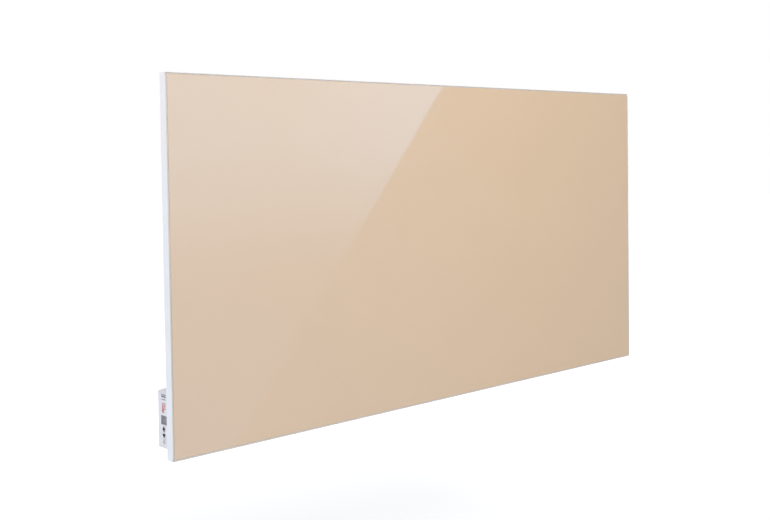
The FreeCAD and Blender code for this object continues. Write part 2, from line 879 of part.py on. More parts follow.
def base_rivet_spots():
    """The middles of the rivets that hold the thermostat's base, as (x, z)."""
    left = "in_left + boss_left + base_rivet_from_boss"
    right = "in_right - boss_right - base_rivet_from_boss"
    return [(left, "in_bottom + base_rivet_end"), (right, "in_bottom + base_rivet_end"),
            (left, "in_top - base_rivet_end"),
            ("in_right - base_rivet_from_edge", "earth_z - base_rivet_from_earth")]


def rear_cover():
    """A folded sheet with three pressed beads and its fixing holes."""
    body = new_body()
    pad(body, "XZ", "cover_front", "cover_back", rectangle("-cover_x", "-cover_z", "cover_x", "cover_z"))
    beads = []
    hollows = []
    for place in in_a_row(BEAD_COUNT, "bead_pitch"):
        middle = "(bead_middle_z + %s)" % place
        beads.append(about("0", middle, "bead_length", "bead_width"))
        hollows.append(about("0", middle, "bead_length - 2 * cover_thickness",
                             "bead_width - 2 * cover_thickness"))
    pad(body, "XZ", "cover_back", "cover_back + bead_height", *beads)
    pocket(body, "XZ", "cover_front - overrun", "cover_front + bead_height", *hollows)
    screws = [(spot, "screw_shank_radius + screw_hole_clearance") for spot in cover_screw_spots()]
    rivet_spots = hanger_rivet_spots("upper_seat") + hanger_rivet_spots("lower_seat") + base_rivet_spots()
    rivets = [(spot, "rivet_radius + rivet_hole_clearance") for spot in rivet_spots]
    grommet = [(("grommet_x", "grommet_z"), "grommet_neck_radius + grommet_clearance")]
    earth = [(("earth_x", "earth_z"), "earth_stud_radius + earth_fit_clearance")]
    pocket(body, "XZ", "cover_front - overrun", "cover_back + overrun",
           *screws, *rivets, *grommet, *earth)
    return body


def pan_screw(shank_radius, shank_length, head_radius, head_height, edge):
    """A pan head screw along Y, its seat at the origin and its head on the far side."""
    body = turned("XY", [("0", head_height), (head_radius, head_height), (head_radius, "0"),
                         (shank_radius, "0"), (shank_radius, "-(%s)" % shank_length),
                         ("0", "-(%s)" % shank_length)])
    top = value(head_height)
    ease(body, "Fillet", edge, lambda rim: lies_at(rim, Y=top))
    half_long = "screw_slot_length / 2"
    half_wide = "screw_slot_width / 2"
    floor = "(%s) / 2" % head_height
    pocket(body, "XZ", floor, "(%s) + overrun" % head_height,
           rectangle("-" + half_long, "-" + half_wide, half_long, half_wide))
    pocket(body, "XZ", floor, "(%s) + overrun" % head_height,
           rectangle("-" + half_wide, "-" + half_long, half_wide, half_long))
    return body


def cover_screws():
    screw = pan_screw("screw_shank_radius", "screw_shank_length", "screw_head_radius",
                      "screw_head_height", "screw_head_round")
    return copies(screw, [(x, "cover_back", z) for x, z in cover_screw_spots()])


def rivet(thickness):
    """A blind rivet along Y through sheets of a given thickness, its head's seat at the origin."""
    tail = "-(%s)" % thickness
    end = "-(%s + rivet_tail_height)" % thickness
    return turned("XY", [
        ("0", "rivet_head_height"), ("rivet_radius", "rivet_head_height"),
        ("rivet_head_radius", "rivet_head_height / 3"), ("rivet_head_radius", "0"),
        ("rivet_radius", "0"), ("rivet_radius", tail), ("rivet_tail_radius", tail),
        ("rivet_tail_radius", end), ("0", end)])


def hanger_rivets():
    spots = hanger_rivet_spots("upper_seat") + hanger_rivet_spots("lower_seat")
    return copies(rivet("hook_sheet + cover_thickness"),
                  [(x, "cover_back + hook_sheet", z) for x, z in spots])


def base_rivets():
    return copies(rivet("base_thickness + cover_thickness"),
                  [(x, "base_back", z) for x, z in base_rivet_spots()])


def left_and_right(body):
    """The same piece at the left and the right wall screw."""
    return copies(body, [("-wall_hole_spacing_x / 2", "0", "0"), ("wall_hole_spacing_x / 2", "0", "0")])


def hangers(seat):
    """Two folded strips on the cover whose tops rest on the wall hooks."""
    body = new_body()
    outer = "cover_back + hook_sheet"
    lip = "-hanger_wall_clearance"
    end = "hanger_length / 2"
    pad(body, "YZ", "-" + end, end, [
        ("cover_back", "%s - hanger_drop" % seat), (outer, "%s - hanger_drop" % seat), (outer, seat),
        (lip + " - hook_sheet", seat), (lip + " - hook_sheet", "%s - hanger_lip_height" % seat),
        (lip, "%s - hanger_lip_height" % seat), (lip, "%s + hook_sheet" % seat),
        ("cover_back", "%s + hook_sheet" % seat)])
    top = value("%s + hook_sheet" % seat)
    ease(body, "Fillet", "hook_bend_round",
         lambda edge: runs_along(edge, "x") and lies_at(edge, Z=top))
    rivet_z = seat + " - rivet_drop"
    hole = "rivet_radius + rivet_hole_clearance"
    holes = [((across, rivet_z), hole) for across in along("hanger_length", "rivet_pitch")]
    pocket(body, "XZ", "cover_back - overrun", "cover_back + hook_sheet + overrun", *holes)
    return left_and_right(body)


def wall_hooks(seat):
    """Two folded strips screwed to the wall, each with an upright lip under its hanger."""
    body = new_body()
    web_top = "%s - hanger_lip_height - lip_end_gap" % seat
    web = web_top + " - hook_sheet"
    low = "%s - wall_hook_drop" % seat
    reach = "-hook_reach"
    end = "wall_hook_length / 2"
    pad(body, "YZ", "-" + end, end, [
        ("0", low), ("0", web_top), (reach + " + hook_sheet", web_top), (reach + " + hook_sheet", seat),
        (reach, seat), (reach, web), ("-hook_sheet", web), ("-hook_sheet", low)])
    bends = ((0, value(web_top)), (value(reach), value(web)))
    ease(body, "Fillet", "hook_bend_round",
         lambda edge: runs_along(edge, "x") and any(lies_at(edge, Y=y, Z=z) for y, z in bends))
    hole = (("0", "%s - wall_hole_drop" % seat), "wall_hole_radius")
    pocket(body, "XZ", "-(hook_sheet + overrun)", "overrun", hole)
    return left_and_right(body)


def rating_plate():
    """A bare plate on the cover beside the thermostat."""
    body = new_body()
    left = "box_right + plate_from_box"
    pad(body, "XZ", "cover_back", "cover_back + plate_thickness",
        rectangle(left, "box_bottom", left + " + plate_width", "box_bottom + plate_height"))
    ease(body, "Fillet", "plate_corner", lambda edge: runs_along(edge, "y"))
    return body


# Thermostat housing
KEYS = ("up", "down", "power")


def case_screw_spots():
    """The middles of the screws through the housing into the base, as (x, z)."""
    spots = []
    for x in ("in_left + boss_left", "in_right - boss_right"):
        for z in ("in_bottom + boss_end", "in_top - boss_end"):
            spots.append((x, z))
    return spots


def box_outline(gap):
    """The housing's outline drawn in by a gap; its top falls a little towards the control face."""
    left = "box_left + " + gap
    right = "box_right - " + gap
    low = "box_bottom + " + gap
    high = "box_top - " + gap
    return [(left, low), (right, low), (right, high), (left + " + shoulder_length", high),
            (left, "face_top - " + gap)]


def key_opening(key, margin):
    """The outline of one key's opening in the control face."""
    return about("face_mid", key + "_key_z", "keycap_depth + 2 * (%s)" % margin,
                 "keycap_height + 2 * (%s)" % margin)


def guide_loops():
    """The ribs that hold the control board's two ends."""
    loops = []
    faces = (("board_front - guide_clearance - guide_wall", "board_front - guide_clearance"),
             ("board_rear + guide_clearance", "board_rear + guide_clearance + guide_wall"))
    for low, high in faces:
        loops.append(rectangle(low, "in_bottom - box_wall / 2", high, "in_bottom + guide_height"))
        loops.append(rectangle(low, "in_face_top - guide_height", high, "face_top"))
    return loops


def thermostat_housing():
    """A shell open towards the panel, with the control face on its left side."""
    body = new_body()
    pad(body, "XZ", "cover_back", "box_rear", box_outline("0"))
    rear = value("box_rear")
    bend = value("box_left + shoulder_length")
    ease(body, "Fillet", "box_round",
         lambda edge: lies_at(edge, Y=rear) or runs_along(edge, "y") and not lies_at(edge, X=bend))
    pocket(body, "XZ", "cover_back - overrun", "in_rear", box_outline("box_wall"))
    pad(body, "XZ", "base_back", "in_rear + box_wall / 2", *guide_loops())
    pocket(body, "YZ", "box_left - overrun", "box_left + label_recess",
           rectangle("cover_back + label_margin", "box_bottom + label_margin",
                     "box_rear - label_margin", "face_top - label_margin"))
    openings = [about("face_mid", "display_z", "display_depth", "display_height")]
    openings += [key_opening(key, "keycap_clearance") for key in KEYS]
    pocket(body, "YZ", "box_left - overrun", "in_left + overrun / 2", *openings)
    recesses = [(spot, "case_screw_recess_radius") for spot in case_screw_spots()]
    pocket(body, "XZ", "case_screw_seat", "box_rear + overrun", *recesses)
    holes = [(spot, "case_screw_radius + case_screw_clearance") for spot in case_screw_spots()]
    pocket(body, "XZ", "in_rear - overrun / 2", "box_rear + overrun", *holes)
    vents = []
    for index in range(VENT_COUNT):
        x = "in_left + vent_from_left + vent_pitch * %d" % index
        vents.append(about(x, "box_mid", "vent_width", "vent_length"))
    gland = (("gland_x", "box_mid"), "gland_thread_radius + gland_hole_clearance")
    pocket(body, "XY", "box_bottom - overrun", "in_bottom + overrun / 2", gland, *vents)
    return body


def thermostat_base():
    """The plate riveted to the cover, with screw bosses and standoffs."""
    body = new_body()
    pad(body, "XZ", "cover_back", "base_back", box_outline("(box_wall + base_clearance)"))
    bosses = [(spot, "boss_radius") for spot in case_screw_spots()]
    pad(body, "XZ", "base_back - base_thickness / 2", "boss_top", *bosses)
    standoffs = [(spot, "standoff_radius") for spot in board_screw_spots()]
    pad(body, "XZ", "base_back - base_thickness / 2", "power_front", *standoffs)
    pilots = [(spot, "case_screw_radius + case_screw_clearance") for spot in case_screw_spots()]
    pocket(body, "XZ", "boss_top - boss_hole_depth", "boss_top + overrun", *pilots)
    pilots = [(spot, "board_screw_radius + case_screw_clearance") for spot in board_screw_spots()]
    pocket(body, "XZ", "cover_back - overrun", "power_front + overrun", *pilots)
    rivets = [(spot, "rivet_radius + rivet_hole_clearance") for spot in base_rivet_spots()]
    grommet = (("grommet_x", "grommet_z"), "grommet_radius + grommet_clearance")
    earth = (("earth_x", "earth_z"), "earth_hole_radius")
    pocket(body, "XZ", "cover_back - overrun", "base_back + overrun", *rivets, grommet, earth)
    return body


def housing_screws():
    screw = pan_screw("case_screw_radius", "case_screw_length", "case_screw_head_radius",
                      "case_screw_head_height", "case_screw_head_height / 3")
    return copies(screw, [(x, "case_screw_seat", z) for x, z in case_screw_spots()])


def control_label():
    """The thin printed face set into the housing's left side."""
    body = new_body()
    gap = "(label_margin + label_clearance)"
    pad(body, "YZ", "label_front", "box_left + label_recess",
        rectangle("cover_back + " + gap, "box_bottom + " + gap, "box_rear - " + gap, "face_top - " + gap))
    openings = [about("face_mid", "display_z", "display_depth", "display_height")]
    openings += [key_opening(key, "keycap_clearance") for key in KEYS]
    pocket(body, "YZ", "label_front - overrun", "box_left + label_recess + overrun", *openings)
    return body


def display_window():
    """A clear window in the control face, flanged behind the wall."""
    body = new_body()
    gap = "2 * window_clearance"
    pad(body, "YZ", "label_front", "in_left + window_flange",
        about("face_mid", "display_z", "display_depth - " + gap, "display_height - " + gap))
    wide = "2 * window_overlap"
    pad(body, "YZ", "in_left", "in_left + window_flange",
        about("face_mid", "display_z", "display_depth + " + wide, "display_height + " + wide))
    return body


def display_module():
    """The liquid crystal module, standing on the control board."""
    body = new_body()
    wide = "2 * module_margin"
    front_face = "in_left + window_flange + module_gap"
    pad(body, "YZ", front_face, "board_front",
        about("face_mid", "display_z", "display_depth + " + wide, "display_height + " + wide))
    pocket(body, "YZ", front_face + " - overrun", front_face + " + module_gap",
           about("face_mid", "display_z", "display_depth - " + wide, "display_height - " + wide))
    return body


def control_board():
    """The upright board behind the control face, held at both ends by the housing's ribs."""
    return block(("board_front", "base_back + board_edge_gap", "in_bottom + board_edge_gap"),
                 ("board_rear", "in_rear - board_edge_gap", "in_face_top - board_edge_gap"))


def switch_bodies():
    """The three small switches on the control board, each bored for its plunger."""
    switches = []
    for key in KEYS:
        z = key + "_key_z"
        case = block(("switch_front", "face_mid - switch_side / 2", z + " - switch_side / 2"),
                     ("board_front", "face_mid + switch_side / 2", z + " + switch_side / 2"))
        hole = rod("x", ("switch_front - overrun", "face_mid", z), "plunger_radius + plunger_clearance",
                   "plunger_hole_depth + overrun")
        switches.append(less(case, hole))
    return group(*switches)


def plunger(key):
    """The part of a switch that moves with its key."""
    return rod("x", ("keycap_back", "face_mid", key + "_key_z"), "plunger_radius", "plunger_length")


def keycap(key):
    """A small key, standing a little proud and held back by its two ears."""
    body = new_body()
    pad(body, "YZ", "box_left - keycap_proud", "keycap_back", key_opening(key, "0"))
    ease(body, "Fillet", "keycap_corner", lambda edge: runs_along(edge, "x"))
    face = value("box_left - keycap_proud")
    ease(body, "Fillet", "keycap_edge", lambda edge: lies_at(edge, X=face))
    wide = "keycap_depth + 2 * (keycap_clearance + keycap_overlap)"
    pad(body, "YZ", "in_left", "keycap_back", about("face_mid", key + "_key_z", wide, "keycap_height"))
    return body


def board_ribbon():
    """The flat lead from the control board down to the power board."""
    body = new_body()
    high = "power_back + ribbon_depth"
    low = high + " - ribbon_thickness"
    far = "board_rear + ribbon_reach"
    near = far + " - ribbon_thickness"
    bottom = "(power_bottom + power_top - ribbon_width) / 2"
    pad(body, "XY", bottom, bottom + " + ribbon_width", [
        ("board_rear", low), (near, low), (near, "power_back"), (far, "power_back"), (far, high),
        ("board_rear", high)])
    corner_x = value(far)
    corner_y = value(high)
    ease(body, "Fillet", "ribbon_bend", lambda edge: lies_at(edge, X=corner_x, Y=corner_y))
    return body


def room_sensor():
    """A bead on two wires, close above the vents in the housing's underside."""
    x = "board_rear + sensor_setback"
    low = "in_bottom + sensor_rise"
    shapes = [rod("z", (x, "box_mid", low), "sensor_radius", "sensor_length")]
    for side in (1, -1):
        spot = ("board_rear", "box_mid + %d * sensor_lead_pitch / 2" % side,
                "%s + sensor_length * (2 + %d) / 4" % (low, side))
        shapes.append(rod("x", spot, "sensor_lead_radius", "sensor_setback"))
    return joined(*shapes)


# Power board
def board_screw_spots():
    """The middles of the power board's four screws, as (x, z)."""
    spots = []
    for x in ("power_left + standoff_inset", "power_right - standoff_inset"):
        for z in ("power_bottom + standoff_inset", "power_top - standoff_inset"):
            spots.append((x, z))
    return spots


def power_board():
    body = new_body()
    pad(body, "XZ", "power_front", "power_back",
        rectangle("power_left", "power_bottom", "power_right", "power_top"))
    holes = [(spot, "board_screw_radius + case_screw_clearance") for spot in board_screw_spots()]
    pocket(body, "XZ", "power_front - overrun / 2", "power_back + overrun", *holes)
    return body


def board_screws():
    screw = turned("XY", [
        ("0", "board_screw_head_height"), ("board_screw_head_radius", "board_screw_head_height"),
        ("board_screw_head_radius", "0"), ("board_screw_radius", "0"),
        ("board_screw_radius", "-board_screw_length"), ("0", "-board_screw_length")])
    head = value("board_screw_head_height")
    ease(screw, "Fillet", "board_screw_head_height / 3", lambda rim: lies_at(rim, Y=head))
    return copies(screw, [(x, "power_back", z) for x, z in board_screw_spots()])


def component(name):
    """A moulded component on the power board, its top edges rounded."""
    body = new_body()
    left = name + "_left"
    low = name + "_low"
    top = "power_back + %s_tall" % name
    pad(body, "XZ", "power_back", top,
        rectangle(left, low, "%s + %s_width" % (left, name), "%s + %s_height" % (low, name)))
    level = value(top)
    ease(body, "Fillet", "component_round", lambda edge: lies_at(edge, Y=level))
    return body


def terminal_block():
    """A stepped block whose lower front half takes the mains wires."""
    body = component("terminal")
    pocket(body, "XZ", "power_back + terminal_tall - terminal_step", "power_back + terminal_tall + overrun",
           rectangle("terminal_left - overrun", "terminal_low - overrun", "right_edge + overrun",
                     "terminal_low + terminal_height / 2"))
    return body


def fuse():
    """A round miniature fuse on a narrower foot."""
    body = turned("XY", [
        ("0", "0"), ("fuse_foot_radius", "0"), ("fuse_foot_radius", "fuse_foot_height"),
        ("fuse_radius", "fuse_foot_height"), ("fuse_radius", "fuse_tall"), ("0", "fuse_tall")])
    top = value("fuse_tall")
    ease(body, "Fillet", "component_round", lambda rim: lies_at(rim, Y=top))
    bind_base(body, ("fuse_x", "power_back", "fuse_z"))
    return body


# Cable gland
def upright(low, high, radius):
    """A cylinder about the gland's axis between two heights."""
    return rod("z", ("gland_x", "box_mid", low), radius, "(%s) - (%s)" % (high, low))


def gland_body():
    """The gland's hexagon, its thread through the housing and the spigot below."""
    top = "box_bottom + gland_thread_height"
    flange = hexagon("z", ("gland_x", "box_mid", "gland_hex_bottom"), "gland_hex_across",
                     "gland_hex_height")
    solid = joined(flange, upright("box_bottom - gland_hex_height / 2", top, "gland_thread_radius"),
                   upright("gland_spigot_bottom", "gland_hex_bottom + gland_hex_height / 2",
                           "gland_spigot_radius"))
    bore = upright("gland_spigot_bottom - overrun", top + " + overrun", "gland_bore_radius")
    return less(solid, bore)


def gland_nut():
    nut = hexagon("z", ("gland_x", "box_mid", "in_bottom"), "gland_hex_across", "gland_nut_height")
    hole = upright("in_bottom - overrun", "in_bottom + gland_nut_height + overrun",
                   "gland_thread_radius + gland_fit_clearance")
    return less(nut, hole)


def gland_cap():
    """The domed nut that closes on the cable."""
    end = "(gland_cap_inside - gland_cap_end)"
    body = turned("XZ", [
        ("gland_bore_radius", end), ("gland_cap_radius", end), ("gland_cap_radius", "gland_cap_top"),
        ("gland_spigot_radius + gland_fit_clearance", "gland_cap_top"),
        ("gland_spigot_radius + gland_fit_clearance", "gland_cap_inside"),
        ("gland_bore_radius", "gland_cap_inside")])
    low = value(end)
    reach = value("gland_cap_radius")
    ease(body, "Fillet", "gland_cap_round",
         lambda rim: lies_at(rim, Z=low) and rim.BoundBox.XMax > reach - CLOSE)
    bind_base(body, ("gland_x", "box_mid", "0"))
    return body


# Grommet and earth point
def cable_grommet():
    """A rubber grommet snapped into the cover's hole, bored for the wires."""
    body = turned("XY", [
        ("grommet_bore_radius", "-(cover_thickness + grommet_flange)"),
        ("grommet_radius", "-(cover_thickness + grommet_flange)"), ("grommet_radius", "-cover_thickness"),
        ("grommet_neck_radius", "-cover_thickness"), ("grommet_neck_radius", "0"),
        ("grommet_radius", "0"), ("grommet_radius", "grommet_flange"),
        ("grommet_bore_radius", "grommet_flange")])
    bind_base(body, ("grommet_x", "cover_back", "grommet_z"))
    return body


def earth_stud():
    """A shouldered stud set in the cover, its foot on the panel's side."""
    body = turned("XY", [
        ("0", "-(cover_thickness + earth_foot_height)"),
        ("earth_foot_radius", "-(cover_thickness + earth_foot_height)"),
        ("earth_foot_radius", "-cover_thickness"), ("earth_stud_radius", "-cover_thickness"),
        ("earth_stud_radius", "0"), ("earth_collar_radius", "0"),
        ("earth_collar_radius", "base_thickness + earth_collar_gap"),
        ("earth_stud_radius", "base_thickness + earth_collar_gap"),
        ("earth_stud_radius", "earth_stud_length"), ("0", "earth_stud_length")])
    bind_base(body, ("earth_x", "cover_back", "earth_z"))
    return body


def earth_lug():
    """A ring on the stud with a squared crimp for the earth wire."""
    plate = rod("y", ("earth_x", "earth_lug_front", "earth_z"), "earth_lug_radius", "earth_lug_thickness")
    crimp = block(("earth_x - earth_barrel_radius", "earth_lug_front",
                   "earth_z - earth_lug_radius - earth_barrel_length"),
                  ("earth_x + earth_barrel_radius", "earth_lug_front + 2 * earth_barrel_radius",
                   "earth_z - earth_lug_radius"))
    tongue = block(("earth_x - earth_barrel_radius", "earth_lug_front", "earth_z - earth_lug_radius"),
                   ("earth_x + earth_barrel_radius", "earth_lug_back", "earth_z"))
    hole = rod("y", ("earth_x", "earth_lug_front - overrun", "earth_z"),
               "earth_stud_radius + earth_fit_clearance", "earth_lug_thickness + 2 * overrun")
    return less(joined(plate, crimp, tongue), hole)


def earth_nut():
    nut = hexagon("y", ("earth_x", "earth_lug_back", "earth_z"), "earth_nut_across", "earth_nut_height")
    hole = rod("y", ("earth_x", "earth_lug_back - overrun", "earth_z"),
               "earth_stud_radius + earth_fit_clearance", "earth_nut_height + 2 * overrun")
    return less(nut, hole)


def earth_lead():
    """The wire from the lug, over the power board's edge, to the terminal block."""
    start_y = "earth_lug_front + earth_barrel_radius"
    start_z = "earth_z - earth_lug_radius - earth_barrel_length"
    turn_z = start_z + " - earth_lead_run"
    return tube([("earth_x", start_y, start_z), ("earth_x", start_y, turn_z),
                 ("earth_x", "earth_lead_y", turn_z), ("earth_x", "earth_lead_y", "terminal_top")],
                "lead_turn_bend / 2", "earth_lead_radius")


# Every piece by its name
pieces = {
    "ceramic_tile": ceramic_tile(),
    "edge_seal": ring("front + seal_recess", "front + seal_recess + seal_depth",
                      "inner_x", "inner_z", "tile_x", "tile_z"),
    "frame_top": frame_side("panel_width", "half_z", TOP_SCREWS, 0),
    "frame_right": frame_side("panel_height", "half_x", SIDE_SCREWS, 1),
    "frame_bottom": frame_side("panel_width", "half_z", TOP_SCREWS, 2),
    "frame_left": frame_side("panel_height", "half_x", SIDE_SCREWS, 3),
    "corner_keys": corner_keys(),
    "tile_gasket": ring("tile_back", "shelf_front", "tile_x", "tile_z", "shelf_x", "shelf_z"),
    "bonding_layer": slab("tile_back", "bond_back", "bond_x", "bond_z"),
    "heating_cable": heating_cable(),
    "cable_strips": cable_strips(),
    "reflector_foil": less(slab("strip_back", "foil_back", "mat_x", "mat_z"),
                           wiring_window("strip_back", "foil_back")),
    "insulation_mat": less(slab("foil_back", "mat_back", "mat_x", "mat_z"),
                           wiring_window("foil_back", "mat_back")),
    "thermal_cutout": thermal_cutout(),
    "heater_leads": heater_leads(),
    "rear_cover": rear_cover(),
    "cover_screws": cover_screws(),
    "upper_hangers": hangers("upper_seat"),
    "lower_hangers": hangers("lower_seat"),
    "hanger_rivets": hanger_rivets(),
    "upper_wall_hooks": wall_hooks("upper_seat"),
    "lower_wall_hooks": wall_hooks("lower_seat"),
    "rating_plate": rating_plate(),
    "cable_grommet": cable_grommet(),
    "earth_stud": earth_stud(),
    "earth_lug": earth_lug(),
    "earth_nut": earth_nut(),
    "earth_lead": earth_lead(),
    "thermostat_housing": thermostat_housing(),
    "thermostat_base": thermostat_base(),
    "base_rivets": base_rivets(),
    "housing_screws": housing_screws(),
    "control_label": control_label(),
    "display_window": display_window(),
    "display_module": display_module(),
    "control_board": control_board(),
    "switch_bodies": switch_bodies(),
    "board_ribbon": board_ribbon(),
    "room_sensor": room_sensor(),
    "power_board": power_board(),
    "board_screws": board_screws(),
    "relay": component("relay"),
    "capacitor": component("capacitor"),
    "supply_module": component("supply"),
    "terminal_block": terminal_block(),
    "fuse": fuse(),
    "gland_body": gland_body(),
    "gland_nut": gland_nut(),
    "gland_cap": gland_cap(),
}
for key in KEYS:
    pieces[key + "_key"] = keycap(key)
    pieces[key + "_plunger"] = plunger(key)
for name, item in pieces.items():
    item.Label = name

doc.recompute()
for item in doc.Objects:
    if "Invalid" in item.State or "Error" in item.State:
        raise RuntimeError("%s failed: %s" % (item.Label, item.State))
for name, item in pieces.items():
    if item.Shape.isNull() or not item.Shape.isValid() or not item.Shape.Solids:
        raise RuntimeError("%s has no valid solid" % name)

os.makedirs("parts", exist_ok=True)
for name, item in pieces.items():
    item.Shape.exportStep("parts/%s.step" % name)
print("%d pieces, %d solids" % (len(pieces), sum(len(item.Shape.Solids) for item in pieces.values())))
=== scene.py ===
import math
import random

import bmesh
import bpy
from mathutils import Euler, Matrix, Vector


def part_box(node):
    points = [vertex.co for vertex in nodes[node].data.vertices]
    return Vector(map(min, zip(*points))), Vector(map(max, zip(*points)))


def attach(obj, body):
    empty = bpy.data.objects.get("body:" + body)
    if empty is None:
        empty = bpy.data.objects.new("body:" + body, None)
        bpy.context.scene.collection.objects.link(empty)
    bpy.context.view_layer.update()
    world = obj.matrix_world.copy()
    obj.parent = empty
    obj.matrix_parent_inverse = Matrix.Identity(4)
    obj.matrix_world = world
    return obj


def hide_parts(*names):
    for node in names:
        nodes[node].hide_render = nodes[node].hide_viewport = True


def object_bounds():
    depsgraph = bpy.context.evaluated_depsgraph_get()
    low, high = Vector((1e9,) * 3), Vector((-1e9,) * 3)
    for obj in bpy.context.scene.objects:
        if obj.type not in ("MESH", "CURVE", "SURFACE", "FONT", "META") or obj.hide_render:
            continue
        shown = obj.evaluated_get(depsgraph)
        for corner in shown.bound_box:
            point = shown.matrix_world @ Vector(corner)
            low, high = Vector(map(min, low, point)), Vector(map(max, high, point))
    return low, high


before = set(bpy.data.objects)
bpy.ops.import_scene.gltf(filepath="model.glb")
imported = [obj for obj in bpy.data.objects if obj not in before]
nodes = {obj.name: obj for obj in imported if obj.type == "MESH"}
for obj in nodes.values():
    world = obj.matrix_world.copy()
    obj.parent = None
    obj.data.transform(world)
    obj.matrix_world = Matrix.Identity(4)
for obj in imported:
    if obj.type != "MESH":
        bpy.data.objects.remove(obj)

# Looks for a ceramic panel heater. Places are metres in the part's own frame: X right as seen from
# the front, Y back to the wall, Z up.

MM = 0.001
WHITE = (1.0, 1.0, 1.0, 1.0)
cad_low, cad_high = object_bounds()
random.seed(7)


def srgb(red, green, blue):
    """A colour written as screen values from 0 to 255, in linear light."""
    def linear(level):
        share = level / 255
        return share / 12.92 if share <= 0.04045 else ((share + 0.055) / 1.055) ** 2.4
    return (linear(red), linear(green), linear(blue), 1.0)


# Materials

# Numbers of the colour sockets on a mix node, where several sockets share one name
MIX_FACTOR = 0
MIX_FIRST = 6
MIX_SECOND = 7
MIX_RESULT = 2


class Surface:
    """A Principled material and the texture nodes that give it its detail."""

    def __init__(self, name, colour, roughness, **constants):
        self.material = bpy.data.materials.new(name)
        self.material.use_nodes = True
        self.tree = self.material.node_tree
        self.shader = self.tree.nodes["Principled BSDF"]
        self.shader.inputs["Base Color"].default_value = colour
        self.shader.inputs["Roughness"].default_value = roughness
        for socket, constant in constants.items():
            self.shader.inputs[socket.replace("_", " ")].default_value = constant
        self.place = self.add("ShaderNodeTexCoord").outputs["Object"]
        self.colour = colour
        self.normal = None

    def add(self, kind, **settings):
        """A new node with its settings."""
        node = self.tree.nodes.new(kind)
        for name, setting in settings.items():
            setattr(node, name, setting)
        return node

    def link(self, source, socket):
        """Join a node's output to another's input."""
        self.tree.links.new(source, socket)

    def stretched(self, x, y, z):
        """The place, scaled differently along each axis."""
        mapping = self.add("ShaderNodeMapping")
        mapping.inputs["Scale"].default_value = (x, y, z)
        self.link(self.place, mapping.inputs["Vector"])
        return mapping.outputs["Vector"]

    def noise(self, size, detail=2.0, place=None, distortion=0.0):
        """Soft noise whose blotches are about size metres across."""
        node = self.add("ShaderNodeTexNoise")
        node.inputs["Scale"].default_value = 1 / size
        node.inputs["Detail"].default_value = detail
        node.inputs["Distortion"].default_value = distortion
        self.link(place or self.place, node.inputs["Vector"])
        return node.outputs["Fac"]

    def cells(self, size, feature="F1", output="Color", place=None):
        """Random cells about size metres across."""
        node = self.add("ShaderNodeTexVoronoi", feature=feature)
        node.inputs["Scale"].default_value = 1 / size
        self.link(place or self.place, node.inputs["Vector"])
        return node.outputs[output]

    def ranged(self, source, low, high, start=0.3, end=0.7):
        """The source's range from start to end, turned into the range from low to high."""
        node = self.add("ShaderNodeMapRange")
        node.inputs["From Min"].default_value = start
        node.inputs["From Max"].default_value = end
        node.inputs["To Min"].default_value = low
        node.inputs["To Max"].default_value = high
        self.link(source, node.inputs["Value"])
        return node.outputs["Result"]

    def worked(self, operation, first, second=0.0):
        """Arithmetic on a socket and a second socket or number."""
        node = self.add("ShaderNodeMath", operation=operation)
        for term, socket in zip((first, second), node.inputs):
            if isinstance(term, float):
                socket.default_value = term
            else:
                self.link(term, socket)
        return node.outputs["Value"]

    def blend(self, source, colours):
        """The base colour from a ramp between two places, each with its colour."""
        ramp = self.add("ShaderNodeValToRGB")
        for element, (place, colour) in zip(ramp.color_ramp.elements, colours):
            element.position = place
            element.color = colour
        self.link(source, ramp.inputs["Fac"])
        self.link(ramp.outputs["Color"], self.shader.inputs["Base Color"])

    def tint(self, source, dark, light, start=0.3, end=0.7):
        """The base colour, varied between two shares of itself."""
        shades = [[min(1.0, level * share) for level in self.colour[:3]] + [1.0]
                  for share in (dark, light)]
        self.blend(source, zip((start, end), shades))

    def over(self, mask, colour):
        """Another colour where the mask is one."""
        base = self.shader.inputs["Base Color"]
        mix = self.add("ShaderNodeMix", data_type="RGBA")
        mix.inputs[MIX_SECOND].default_value = colour
        self.link(base.links[0].from_socket, mix.inputs[MIX_FIRST])
        self.link(mask, mix.inputs[MIX_FACTOR])
        self.link(mix.outputs[MIX_RESULT], base)

    def rough(self, source, low, high):
        """The roughness, varied between two values."""
        self.link(self.ranged(source, low, high), self.shader.inputs["Roughness"])

    def bump(self, source, depth):
        """Relief of a given depth in metres, added to any relief so far."""
        node = self.add("ShaderNodeBump")
        node.inputs["Distance"].default_value = depth
        self.link(source, node.inputs["Height"])
        if self.normal:
            self.link(self.normal, node.inputs["Normal"])
        self.normal = node.outputs["Normal"]
        self.link(self.normal, self.shader.inputs["Normal"])


def moulded(name, colour, roughness=0.45, grain=0.5 * MM, depth=0.02 * MM):
    """Moulded plastic: fine spark-eroded grain and faint shading."""
    made = Surface(name, colour, roughness)
    made.tint(made.noise(25 * MM), dark=0.97, light=1.02)
    made.rough(made.noise(4 * MM), low=roughness - 0.04, high=roughness + 0.05)
    made.bump(made.noise(grain, detail=3), depth)
    return made


def coated(name, colour, roughness=0.38):
    """Powder coat on metal: orange peel and a finer grit."""
    made = Surface(name, colour, roughness, Coat_Weight=0.15, Coat_Roughness=0.25)
    made.tint(made.noise(60 * MM), dark=0.985, light=1.01)
    made.rough(made.noise(3 * MM), low=roughness - 0.05, high=roughness + 0.06)
    made.bump(made.noise(1.6 * MM, detail=1), depth=0.03 * MM)
    made.bump(made.noise(0.35 * MM, detail=2), depth=0.008 * MM)
    return made


